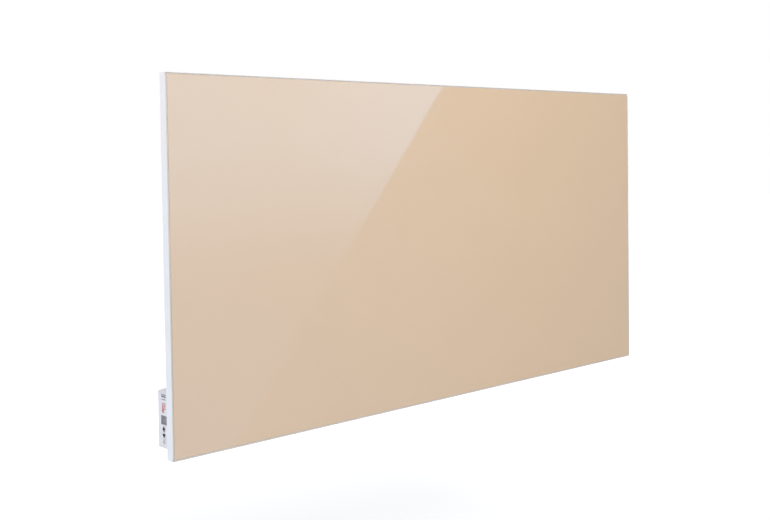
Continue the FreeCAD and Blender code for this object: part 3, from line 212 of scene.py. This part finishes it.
def frame_coat_with_painted_rim_shade():
    """The frame's powder coat; the front of its rim is painted a warm grey as painted shade, standing in
    for the shade at the joint round the tile.
    """
    made = coated("frame_white", srgb(231, 235, 244))
    rim_shade_fade = 0.2 * MM
    depth = 1.5 * MM
    split = made.add("ShaderNodeSeparateXYZ")
    made.link(made.place, split.inputs["Vector"])
    # How far past the frame's outer edges a place is, so less than zero all over the frame
    past_side = made.worked("SUBTRACT", made.worked("ABSOLUTE", split.outputs["X"]), cad_high.x)
    past_end = made.worked("SUBTRACT", made.worked("ABSOLUTE", split.outputs["Z"]), cad_high.z)
    past_edge = made.worked("MAXIMUM", past_side, past_end)
    # Painted shade: a warm grey over the front of the rim, fading out towards the frame's outer edge
    painted_rim_shade = made.ranged(past_edge, low=1.0, high=0.0, start=-rim_shade_fade, end=0.0)
    at_front = made.worked("LESS_THAN", split.outputs["Y"], cad_low.y + depth)
    made.over(made.worked("MULTIPLY", painted_rim_shade, at_front), srgb(193, 185, 177))
    return made


def plated(name, colour, roughness=0.3):
    """Plated or turned metal with cloudy dull spots."""
    made = Surface(name, colour, roughness, Metallic=1.0)
    spot = 3 * MM
    made.tint(made.noise(spot), dark=0.88, light=1.04)
    made.rough(made.noise(spot / 2, detail=3), low=roughness - 0.08, high=roughness + 0.12)
    made.bump(made.noise(spot / 6), depth=0.01 * MM)
    return made


def brushed(name, colour, roughness=0.32):
    """Sheet metal with fine lines along X from its rolling."""
    made = Surface(name, colour, roughness, Metallic=1.0)
    lines = made.noise(10 * MM, detail=3, place=made.stretched(x=1, y=40, z=40))
    made.tint(lines, dark=0.9, light=1.05)
    made.rough(lines, low=roughness - 0.08, high=roughness + 0.1)
    made.bump(lines, depth=0.01 * MM)
    return made


def rubbery(name, colour, roughness=0.7):
    """Rubber, silicone or foam: matt, with small pores."""
    made = Surface(name, colour, roughness)
    made.tint(made.noise(6 * MM), dark=0.92, light=1.06)
    made.rough(made.noise(1 * MM), low=roughness - 0.08, high=roughness + 0.08)
    made.bump(made.noise(0.6 * MM, detail=3), depth=0.04 * MM)
    return made


def ceramic_glaze():
    """Beige glaze: almost mirror smooth, with the faint waves of a fired surface."""
    made = Surface("ceramic_glaze", srgb(208, 182, 153), roughness=0.035, IOR=1.52)
    made.tint(made.noise(220 * MM, detail=1), dark=0.992, light=1.008)
    made.rough(made.noise(35 * MM, detail=3), low=0.025, high=0.05)
    made.bump(made.noise(90 * MM, detail=1), depth=0.02 * MM)
    made.bump(made.noise(1.5 * MM, detail=1), depth=0.0006 * MM)
    return made


def galvanised():
    """Zinc-dipped sheet: flat crystals, each with its own grey, and a cloudy gloss."""
    made = Surface("galvanised_steel", srgb(196, 198, 200), roughness=0.36, Metallic=1.0)
    crystals = made.cells(9 * MM, place=made.stretched(x=1, y=0.2, z=1.3))
    made.tint(crystals, dark=0.92, light=1.03, start=0.1, end=0.9)
    made.rough(made.noise(5 * MM, detail=4), low=0.3, high=0.46)
    made.bump(crystals, depth=0.012 * MM)
    made.bump(made.noise(40 * MM, detail=1), depth=0.05 * MM)
    return made


def mineral_wool():
    """Matted fibres of an insulation mat."""
    made = Surface("mineral_wool", srgb(206, 200, 176), roughness=0.95)
    fibres = made.noise(1.2 * MM, detail=5, place=made.stretched(x=1, y=1, z=3), distortion=2)
    made.tint(fibres, dark=0.75, light=1.1)
    made.bump(fibres, depth=0.5 * MM)
    return made


def crinkled_foil(name, colour):
    """Thin metal foil with small dents from handling."""
    made = Surface(name, colour, roughness=0.22, Metallic=1.0)
    folds = made.cells(7 * MM, output="Distance")
    made.tint(folds, dark=0.9, light=1.0, start=0.0, end=0.8)
    made.bump(folds, depth=0.3 * MM)
    return made


def circuit_board():
    """Green solder mask over copper tracks."""
    made = Surface("board_green", srgb(28, 96, 52), roughness=0.3, Coat_Weight=0.4, Coat_Roughness=0.1)
    tracks = made.cells(2.5 * MM, feature="DISTANCE_TO_EDGE", output="Distance")
    made.blend(tracks, [(0.04, srgb(52, 132, 74)), (0.1, srgb(20, 84, 44))])
    made.bump(tracks, depth=0.03 * MM)
    return made


def insulated_wire(name, colour):
    """The smooth plastic sleeve of a wire, a little uneven in colour."""
    made = Surface(name, colour, roughness=0.4)
    made.tint(made.noise(15 * MM), dark=0.9, light=1.08)
    made.bump(made.noise(0.8 * MM), depth=0.02 * MM)
    return made


def glassy(name, colour):
    """Clear moulded acrylic, polished, with faint flow lines."""
    made = Surface(name, colour, roughness=0.02, IOR=1.49, Transmission_Weight=1.0)
    made.bump(made.noise(8 * MM, detail=1), depth=0.01 * MM)
    made.tint(made.noise(5 * MM), dark=0.97, light=1.0)
    return made


def display_grey():
    """A liquid crystal's grey, with its fine rows of dots."""
    made = Surface("display_grey", srgb(108, 103, 112), roughness=0.25)
    rows = made.add("ShaderNodeTexWave", wave_type="BANDS", bands_direction="Z")
    rows.inputs["Scale"].default_value = 1 / (4 * MM)
    made.link(made.place, rows.inputs["Vector"])
    made.tint(rows.outputs["Fac"], dark=0.88, light=1.04, start=0.0, end=1.0)
    made.rough(made.noise(2 * MM), low=0.2, high=0.32)
    return made


def ink(name, colour):
    """Matt screen-printed ink with slightly uneven cover."""
    made = Surface(name, colour, roughness=0.6, Specular_IOR_Level=0.12)
    made.tint(made.noise(0.8 * MM, detail=3), dark=0.9, light=1.12)
    made.bump(made.noise(0.25 * MM), depth=0.004 * MM)
    return made


looks = {
    ceramic_glaze(): ["ceramic_tile"],
    frame_coat_with_painted_rim_shade(): ["frame_top", "frame_right", "frame_bottom", "frame_left"],
    coated("hook_steel", srgb(214, 216, 219), roughness=0.45): [
        "upper_hangers", "lower_hangers", "upper_wall_hooks", "lower_wall_hooks"],
    galvanised(): ["rear_cover"],
    brushed("corner_steel", srgb(186, 186, 186)): ["corner_keys"],
    plated("zinc_screw", srgb(206, 205, 200)): [
        "cover_screws", "housing_screws", "hanger_rivets", "base_rivets", "board_screws", "earth_nut",
        "earth_stud"],
    brushed("plate_silver", srgb(214, 215, 217), roughness=0.28): ["rating_plate"],
    crinkled_foil("foil", srgb(226, 226, 228)): ["reflector_foil"],
    crinkled_foil("strip_tape", srgb(218, 218, 220)): ["cable_strips"],
    mineral_wool(): ["insulation_mat"],
    rubbery("bond_silicone", srgb(150, 148, 146)): ["bonding_layer"],
    rubbery("foam_black", srgb(34, 34, 36), roughness=0.85): ["tile_gasket"],
    rubbery("grommet_black", srgb(30, 30, 32), roughness=0.6): ["cable_grommet"],
    insulated_wire("cable_red", srgb(168, 40, 30)): ["heating_cable"],
    insulated_wire("wire_brown", srgb(110, 66, 40)): ["heater_leads"],
    insulated_wire("wire_earth", srgb(110, 160, 50)): ["earth_lead"],
    moulded("cutout_body", srgb(54, 50, 46)): ["thermal_cutout"],
    moulded("box_white", srgb(221, 222, 230), roughness=0.42): ["thermostat_housing"],
    moulded("base_white", srgb(216, 216, 218)): ["thermostat_base"],
    moulded("key_white", srgb(228, 229, 234), roughness=0.35, grain=0.3 * MM): [
        "up_key", "down_key", "power_key"],
    moulded("gland_white", srgb(222, 223, 226), roughness=0.4): [
        "gland_body", "gland_nut", "gland_cap"],
    moulded("plunger_white", srgb(224, 224, 218)): ["up_plunger", "down_plunger", "power_plunger"],
    moulded("switch_black", srgb(36, 36, 38)): ["switch_bodies"],
    moulded("supply_black", srgb(34, 34, 36), roughness=0.35): ["supply_module"],
    moulded("fuse_brown", srgb(88, 60, 46), roughness=0.3): ["fuse"],
    moulded("relay_blue", srgb(40, 92, 170), roughness=0.3): ["relay"],
    moulded("capacitor_yellow", srgb(216, 186, 70), roughness=0.3): ["capacitor"],
    moulded("terminal_green", srgb(56, 148, 88), roughness=0.4): ["terminal_block"],
    moulded("ribbon_grey", srgb(176, 176, 180), roughness=0.4): ["board_ribbon"],
    moulded("sensor_epoxy", srgb(38, 36, 36), roughness=0.2): ["room_sensor"],
    plated("lug_tinned", srgb(214, 214, 208), roughness=0.25): ["earth_lug"],
    circuit_board(): ["control_board", "power_board"],
    display_grey(): ["display_module"],
    glassy("display_glass", srgb(236, 236, 240)): ["display_window"],
    moulded("label_white", srgb(224, 225, 234), roughness=0.3, grain=0.2 * MM, depth=0.004 * MM): [
        "control_label"],
}
for surface, names in looks.items():
    for name in names:
        nodes[name].data.materials.clear()
        nodes[name].data.materials.append(surface.material)


# Pieces that the CAD part leaves plain
def piece(name, mesh, surface, body):
    """An object that rides on a body."""
    item = bpy.data.objects.new(name, mesh)
    bpy.context.scene.collection.objects.link(item)
    mesh.materials.append(surface.material)
    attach(item, body)
    return item


def joined(mesh, outline, following):
    """Faces between two closed outlines with the same number of points."""
    for index in range(len(outline)):
        after = (index + 1) % len(outline)
        mesh.faces.new((outline[index], outline[after], following[after], following[index]))


def finished(name, mesh):
    """The mesh with its faces turned outward, as an object can hold it."""
    bmesh.ops.recalc_face_normals(mesh, faces=mesh.faces)
    data = bpy.data.meshes.new(name)
    mesh.to_mesh(data)
    mesh.free()
    return data


# The sealant's hollow across the joint: each share of its width, from the tile outward, with its
# depth in millimetres behind the tile's front
HOLLOW = [(0.0, 0.62), (0.12, 0.78), (0.3, 0.9), (0.5, 0.95), (0.7, 0.88), (0.88, 0.7), (1.0, 0.5)]
LONG_SIDE_STEPS = 160
SHORT_SIDE_STEPS = 80
# How far the finger's depth strays at each step, in millimetres, and how much of it stays at the next
FINGER_WANDER = 0.05
FINGER_STEADINESS = 0.8


def tooled_joint():
    """The sealant round the tile: a shallow hollow drawn with a finger, never quite even."""
    tile_low, tile_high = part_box("ceramic_tile")
    seal_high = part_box("edge_seal")[1]
    width = seal_high.x - tile_high.x
    mesh = bmesh.new()
    rings = []
    wander = 0.0
    # Along the bottom, right, top and left of the tile as seen from the front
    for along_x, along_z in [(1, 0), (0, 1), (-1, 0), (0, -1)]:
        out_x, out_z = (along_z, -along_x)
        steps = LONG_SIDE_STEPS if along_x else SHORT_SIDE_STEPS
        for step in range(steps):
            travel = 2 * step / steps - 1
            x = tile_high.x * (along_x * travel + out_x)
            z = tile_high.z * (along_z * travel + out_z)
            # The corner where the side starts is mitred
            mitre = 1 if step == 0 else 0
            shift_x = (out_x - mitre * along_x) * width
            shift_z = (out_z - mitre * along_z) * width
            wander = FINGER_STEADINESS * wander + random.uniform(-FINGER_WANDER, FINGER_WANDER)
            ring = [(share, tile_low.y + (depth + wander * math.sin(math.pi * share)) * MM)
                    for share, depth in HOLLOW]
            ring += [(1.0, seal_high.y), (0.0, seal_high.y)]
            rings.append([mesh.verts.new((x + shift_x * share, y, z + shift_z * share))
                          for share, y in ring])
    for index, ring in enumerate(rings):
        joined(mesh, ring, rings[(index + 1) % len(rings)])
    return finished("sealant_joint", mesh)


sealant = rubbery("joint_grey", srgb(206, 200, 196), roughness=0.6)
joint = piece("sealant_joint", tooled_joint(), sealant, "panel")
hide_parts("edge_seal")


# Outlines of printed marks, in millimetres on a face that looks along -X: u runs to its right, v up
def ribbon(path, width):
    """Quads along a path of (u, v) points, of even width."""
    sides = []
    for index, (u, v) in enumerate(path):
        before = path[max(index - 1, 0)]
        after = path[min(index + 1, len(path) - 1)]
        along = Vector((after[0] - before[0], after[1] - before[1])).normalized()
        shift = Vector((-along.y, along.x)) * width / 2
        sides.append(((u + shift.x, v + shift.y), (u - shift.x, v - shift.y)))
    return [[left, right, next_right, next_left]
            for (left, right), (next_left, next_right) in zip(sides, sides[1:])]


def arc(radius, start, end, middle=(0, 0), steps=24):
    """Points on a circle between two angles in degrees."""
    points = []
    for index in range(steps + 1):
        angle = math.radians(start + (end - start) * index / steps)
        points.append((middle[0] + radius * math.cos(angle), middle[1] + radius * math.sin(angle)))
    return points


def open_ring(radius, gap, middle=(0, 0)):
    """Points on a circle that stays open at its top, by an angle to each side."""
    return arc(radius, start=90 + gap, end=450 - gap, middle=middle)


def disc(radius, middle):
    """A dot with twelve corners."""
    corners = 12
    return arc(radius, start=0, end=360 - 360 / corners, middle=middle, steps=corners - 1)


def bar(left, low, right, high):
    """A rectangle as its four corners."""
    return [(left, low), (right, low), (right, high), (left, high)]


def spread(count, pitch):
    """Places of a row of things about its middle."""
    return [pitch * (index - (count - 1) / 2) for index in range(count)]


def arrow(upward):
    """A triangle with small round corners and swelling sides, up for 1 and down for -1."""
    half_width = 4.1
    height = 6.0
    corner = 0.6
    bulge = 0.6
    steps = 8
    tips = [(-half_width, -height / 2), (half_width, -height / 2), (0, height / 2)]
    points = []
    for index, tip in enumerate(tips):
        here = Vector(tip)
        side = Vector(tips[(index + 1) % len(tips)]) - here
        back = Vector(tips[index - 1]) - here
        bend = (side.normalized() + back.normalized()) * corner / 3
        points.append(tuple(here + bend))
        outward = Vector((side.y, -side.x)).normalized()
        margin = corner / side.length
        for step in range(steps + 1):
            share = margin + (1 - 2 * margin) * step / steps
            points.append(tuple(here + side * share + outward * 4 * bulge * share * (1 - share)))
    return [[(u, v * upward) for u, v in points]]


def power_sign():
    """A broken ring with a stroke through its gap."""
    line = 1.0
    stroke_low = 0.3
    stroke_high = 3.0
    ring = open_ring(radius=2.3, gap=35)
    return ribbon(ring, line) + [bar(-line / 2, stroke_low, line / 2, stroke_high)]


def degree_sign():
    """A small ring and the letter C."""
    ring = arc(radius=0.7, start=0, end=360, middle=(-2.0, 0.9))
    letter = arc(radius=1.4, start=50, end=310, middle=(0.9, 0))
    return ribbon(ring, width=0.7) + ribbon(letter, width=1.1)


def scale():
    """A thick line with nine ticks above it, every fourth of them longer."""
    half_length = 6.6
    thickness = 1.6
    tick_foot = 0.9
    long_tick_top = 3.9
    tick_top = 2.9
    half_tick = 0.5
    lines = [bar(-half_length, -thickness, half_length, 0.0)]
    for index, u in enumerate(spread(count=9, pitch=1.5)):
        top = long_tick_top if index % 4 == 0 else tick_top
        lines.append(bar(u - half_tick, tick_foot, u + half_tick, top))
    return lines


def dots():
    """Five dots in a row."""
    return [disc(radius=0.95, middle=(u, 0)) for u in spread(count=5, pitch=2.5)]


def thermometer():
    """The line of a thermometer's glass, the liquid in it, and five lines of a scale beside it."""
    stem = -2.4
    half_stem = 1.7
    stem_seam = 2.0
    stem_top = 5.4
    bulb = (stem, -4.6)
    bulb_radius = 2.9
    glass_line = 1.2
    drop_radius = 1.5
    half_column = 0.5
    column_top = 3.4
    glass = [(stem - half_stem, stem_seam)]
    glass += open_ring(bulb_radius, gap=36, middle=bulb)
    glass += arc(half_stem, start=0, end=180, middle=(stem, stem_top), steps=12)
    marks = ribbon(glass + glass[:1], glass_line)
    drop = open_ring(drop_radius, gap=20, middle=bulb)
    marks.append(drop + [(stem + half_column, column_top), (stem - half_column, column_top)])
    scale_left = 1.2
    scale_right = 4.6
    long_right = 6.2
    scale_middle = 2.6
    half_line = 0.55
    for index, v in enumerate(spread(count=5, pitch=2.1)):
        right = long_right if index % 2 == 0 else scale_right
        low = scale_middle + v - half_line
        high = scale_middle + v + half_line
        marks.append(bar(scale_left, low, right, high))
    return marks


# Strokes of a digit in half widths from its middle, and which of them each digit shows
SEGMENTS = {
    "top": ((-1, 2), (1, 2)), "middle": ((-1, 0), (1, 0)), "bottom": ((-1, -2), (1, -2)),
    "top_left": ((-1, 0), (-1, 2)), "top_right": ((1, 0), (1, 2)),
    "low_left": ((-1, -2), (-1, 0)), "low_right": ((1, -2), (1, 0)),
}
DIGITS = {
    "2": ("top", "top_right", "middle", "low_left", "bottom"),
    "1": ("top_right", "low_right"),
}


def digit(name, middle_u):
    """Seven-segment strokes with small gaps at their ends."""
    half_width = 2.0
    line = 1.1
    gap = 0.62
    middle = Vector((middle_u, 0))
    strokes = []
    for segment in DIGITS[name]:
        start, end = [Vector(place) * half_width for place in SEGMENTS[segment]]
        trim = (end - start).normalized() * gap
        strokes += ribbon([tuple(start + trim + middle), tuple(end - trim + middle)], line)
    return strokes


def reading():
    """The number 21 and a small degree ring."""
    ring = arc(radius=0.9, start=0, end=360, middle=(5.2, 3.4))
    return digit("2", middle_u=-3.4) + digit("1", middle_u=1.0) + ribbon(ring, width=0.5)


def display_rim():
    """Four bars round the display's opening."""
    opening_width = 15.5
    opening_height = 12.8
    margin = 0.1
    line = 0.5
    rim_u = opening_width / 2 + margin
    rim_v = opening_height / 2 + margin
    bars = []
    for way in (-1, 1):
        low, high = sorted((way * rim_v, way * (rim_v + line)))
        bars.append(bar(-rim_u - line, low, rim_u + line, high))
        left, right = sorted((way * rim_u, way * (rim_u + line)))
        bars.append(bar(left, -rim_v, right, rim_v))
    return bars


# Printed marks on the control face; the display's crystal lies a little behind its module's front
INK_DEPTH = 0.03 * MM
CRYSTAL_DEPTH = 0.3 * MM
ARROW_SHIFT = 0.2 * MM
DEGREE_HEIGHT = 41.4 * MM
THERMOMETER_HEIGHT = 79.4 * MM
DOTS_HEIGHT = 92.6 * MM
SCALE_HEIGHT = 97.6 * MM

label_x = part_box("control_label")[0].x
key_low, key_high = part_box("power_key")
face_middle = (key_low.y + key_high.y) / 2
module_low, module_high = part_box("display_module")
display_z = (module_low.z + module_high.z) / 2


def on_label(height):
    """A place on the label, at a height above the part's lowest point."""
    return Vector((label_x, face_middle, cad_low.z + height))


def on_key(name, rise=0.0):
    """The middle of a key's face, or a place a little above it."""
    low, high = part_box(name)
    return Vector((low.x, face_middle, (low.z + high.z) / 2 + rise))


def printed(name, polygons, place, surface, body):
    """Flat marks of (u, v) polygons in millimetres, about a place on a face that looks along -X."""
    mesh = bmesh.new()
    for polygon in polygons:
        low, high = [[mesh.verts.new((place.x + level, place.y - u * MM, place.z + v * MM))
                      for u, v in polygon] for level in (0.0, -INK_DEPTH)]
        mesh.faces.new(high)
        mesh.faces.new(low[::-1])
        joined(mesh, low, high)
    piece(name, finished(name, mesh), surface, body)


black_ink = ink("ink_black", srgb(14, 11, 16))
blue_ink = ink("ink_blue", srgb(44, 48, 84))
red_ink = ink("ink_red", srgb(186, 48, 54))
grey_ink = ink("ink_grey", srgb(98, 96, 106))

printed("up_mark", arrow(1), on_key("up_key", ARROW_SHIFT), black_ink, "up_button")
printed("down_mark", arrow(-1), on_key("down_key", -ARROW_SHIFT), black_ink, "down_button")
printed("power_mark", power_sign(), on_key("power_key"), grey_ink, "power_button")
printed("degree_mark", degree_sign(), on_label(DEGREE_HEIGHT), grey_ink, "panel")
printed("scale_mark", scale(), on_label(SCALE_HEIGHT), blue_ink, "panel")
printed("dot_marks", dots(), on_label(DOTS_HEIGHT), grey_ink, "panel")
printed("thermometer_mark", thermometer(), on_label(THERMOMETER_HEIGHT), red_ink, "panel")
crystal = Vector((module_low.x + CRYSTAL_DEPTH, face_middle, display_z))
printed("display_digits", reading(), crystal, black_ink, "panel")
printed("display_rim", display_rim(), Vector((label_x, face_middle, display_z)), blue_ink, "panel")

# Studio: pale floor, white surroundings, soft light
scene = bpy.context.scene
scene.view_settings.view_transform = "Standard"


def sheet(name, corners):
    """A flat sheet of the studio with four corners."""
    mesh = bpy.data.meshes.new(name)
    mesh.from_pydata(corners, [], [(0, 1, 2, 3)])
    item = bpy.data.objects.new(name, mesh)
    scene.collection.objects.link(item)
    return item


def seen_rays(tree):
    """One for camera, glossy and transmission rays, and zero for the rest."""
    path = tree.nodes.new("ShaderNodeLightPath")
    seen = path.outputs["Is Camera Ray"]
    for name in ("Is Glossy Ray", "Is Transmission Ray"):
        either = tree.nodes.new("ShaderNodeMath")
        either.operation = "MAXIMUM"
        tree.links.new(seen, either.inputs[0])
        tree.links.new(path.outputs[name], either.inputs[1])
        seen = either.outputs["Value"]
    return seen


def white_floor():
    """A pale floor, lifted towards white where it is seen, and more so farther from the part."""
    half_size = 20.0
    level = -0.8
    near, far = (0.9, 3.5)
    near_lift, far_lift = (0.25, 0.62)
    floor = sheet("floor", [(x * half_size, y * half_size, level)
                            for x, y in ((-1, -1), (1, -1), (1, 1), (-1, 1))])
    look = Surface("floor", colour=(0.86, 0.86, 0.87, 1.0), roughness=0.9)
    look.tint(look.noise(0.6), dark=0.995, light=1.0)
    look.shader.inputs["Emission Color"].default_value = WHITE
    distance = look.add("ShaderNodeVectorMath", operation="LENGTH")
    look.link(look.place, distance.inputs[0])
    lift = look.ranged(distance.outputs["Value"], near_lift, far_lift, start=near, end=far)
    seen_lift = look.worked("MULTIPLY", seen_rays(look.tree), lift)
    look.link(seen_lift, look.shader.inputs["Emission Strength"])
    floor.data.materials.append(look.material)


def white_world():
    """Pale light from all round, and plain white where the surroundings are seen."""
    strength = 0.46
    world = bpy.data.worlds.new("studio")
    world.use_nodes = True
    scene.world = world
    tree = world.node_tree
    lighting = tree.nodes["Background"]
    lighting.inputs["Color"].default_value = (0.98, 0.99, 1.0, 1.0)
    lighting.inputs["Strength"].default_value = strength
    seen = tree.nodes.new("ShaderNodeBackground")
    seen.inputs["Color"].default_value = WHITE
    seen.inputs["Strength"].default_value = 1.0
    chosen = tree.nodes.new("ShaderNodeMixShader")
    tree.links.new(seen_rays(tree), chosen.inputs["Fac"])
    tree.links.new(lighting.outputs["Background"], chosen.inputs[1])
    tree.links.new(seen.outputs["Background"], chosen.inputs[2])
    tree.links.new(chosen.outputs["Shader"], tree.nodes["World Output"].inputs["Surface"])


def soft_light(name, place, aim, width, height, power, colour):
    """A rectangular lamp that looks at a point."""
    data = bpy.data.lights.new(name, "AREA")
    data.shape = "RECTANGLE"
    data.size = width
    data.size_y = height
    data.energy = power
    data.color = colour
    lamp = bpy.data.objects.new(name, data)
    lamp.location = place
    lamp.rotation_euler = (Vector(aim) - Vector(place)).to_track_quat("-Z", "Y").to_euler()
    lamp.visible_camera = False
    lamp.visible_glossy = False
    scene.collection.objects.link(lamp)


def reflected_card(name, corners, colour, fades):
    """A sheet that only reflections see. Each of its fades changes its light along an axis, between
    two places, from one strength to another, straight or smoothly."""
    card = sheet(name, corners)
    card.visible_camera = False
    card.visible_diffuse = False
    card.visible_shadow = False
    look = bpy.data.materials.new(name)
    look.use_nodes = True
    tree = look.node_tree
    tree.nodes.clear()
    output = tree.nodes.new("ShaderNodeOutputMaterial")
    place = tree.nodes.new("ShaderNodeTexCoord")
    split = tree.nodes.new("ShaderNodeSeparateXYZ")
    tree.links.new(place.outputs["Object"], split.inputs["Vector"])
    shine = tree.nodes.new("ShaderNodeEmission")
    shine.inputs["Color"].default_value = colour
    strength = shine.inputs["Strength"]
    for axis, places, strengths, curve in fades:
        fade = tree.nodes.new("ShaderNodeMapRange")
        fade.interpolation_type = curve
        fade.inputs["From Min"].default_value, fade.inputs["From Max"].default_value = places
        fade.inputs["To Min"].default_value, fade.inputs["To Max"].default_value = strengths
        product = tree.nodes.new("ShaderNodeMath")
        product.operation = "MULTIPLY"
        product.inputs[1].default_value = 1
        tree.links.new(split.outputs[axis], fade.inputs["Value"])
        tree.links.new(fade.outputs["Result"], product.inputs[0])
        tree.links.new(product.outputs["Value"], strength)
        strength = product.inputs[1]
    clear = tree.nodes.new("ShaderNodeBsdfTransparent")
    both = tree.nodes.new("ShaderNodeAddShader")
    tree.links.new(shine.outputs["Emission"], both.inputs[0])
    tree.links.new(clear.outputs["BSDF"], both.inputs[1])
    tree.links.new(both.outputs["Shader"], output.inputs["Surface"])
    card.data.materials.append(look)


def soft_box():
    """The bluish soft box whose edge crosses the glaze as a slanting line."""
    y = -1.5
    reach = 0.6
    width = 2.4
    edge_top = Vector((1.477, y, 0.436))
    edge_low = Vector((0.635, y, -0.594))
    along = (edge_top - edge_low).normalized()
    across = Vector((-along.z, 0, along.x)) * width
    low_corner = edge_low - along * reach
    top_corner = edge_top + along * reach
    corners = [low_corner, top_corner, top_corner + across, low_corner + across]
    brighter_upward = ("Z", (-0.27, 0.267), (0.385, 2.073), "SMOOTHSTEP")
    brighter_rightward = ("X", (0.73, 1.45), (1.0, 1.42), "LINEAR")
    reflected_card("soft_box", corners, colour=(0.258, 0.659, 1.08, 1.0),
                   fades=[brighter_upward, brighter_rightward])


def haze():
    """A wide bluish haze behind the soft box, which dies away to the right."""
    y = -1.52
    left, right = (-1.5, 4.0)
    low, high = (-1.2, 1.6)
    corners = [(left, y, low), (right, y, low), (right, y, high), (left, y, high)]
    dying_rightward = ("X", (0.31, 2.0), (1.0, 0.0), "LINEAR")
    reflected_card("haze", corners, colour=(0.181, 0.504, 1.0, 1.0), fades=[dying_rightward])


white_floor()
white_world()
soft_light("key_light", place=(-0.2, -1.65, 1.3), aim=(-0.15, 0, 0), width=1.4, height=0.9,
           power=28.5, colour=(1.0, 0.985, 0.955))
soft_light("side_light", place=(-3.2, -0.2, 0.8), aim=(-0.6, 0, 0), width=1.6, height=2.0,
           power=30, colour=(0.95, 0.98, 1.0))
soft_light("back_light", place=(0.8, 3.0, 1.8), aim=(0, 0, 0), width=2.0, height=1.6,
           power=45, colour=(1, 1, 1))
# Warm light on the upper left side of the frame
soft_light("corner_light", place=(-1.0, 0.3, 0.55), aim=(-0.6, -0.04, 0.6), width=0.2, height=0.2,
           power=0.8, colour=(1.0, 0.487, 0.056))
soft_box()
haze()

# Camera, solved from the four corners of the front face; its turn is in degrees
CAMERA_PLACE = (-1.44297, -1.47077, 0.16744)
CAMERA_TURN = (88.158, 0.812, -42.271)
FOCAL_LENGTH = 49.610
SENSOR_WIDTH = 36
LENS_SHIFT = -0.09115

camera_data = bpy.data.cameras.new("camera")
camera_data.sensor_fit = "HORIZONTAL"
camera_data.sensor_width = SENSOR_WIDTH
camera_data.lens = FOCAL_LENGTH
camera_data.shift_y = LENS_SHIFT
camera_data.clip_end = 100
camera = bpy.data.objects.new("camera", camera_data)
camera.location = CAMERA_PLACE
camera.rotation_euler = Euler([math.radians(angle) for angle in CAMERA_TURN])
scene.collection.objects.link(camera)
scene.camera = camera

bpy.context.view_layer.update()
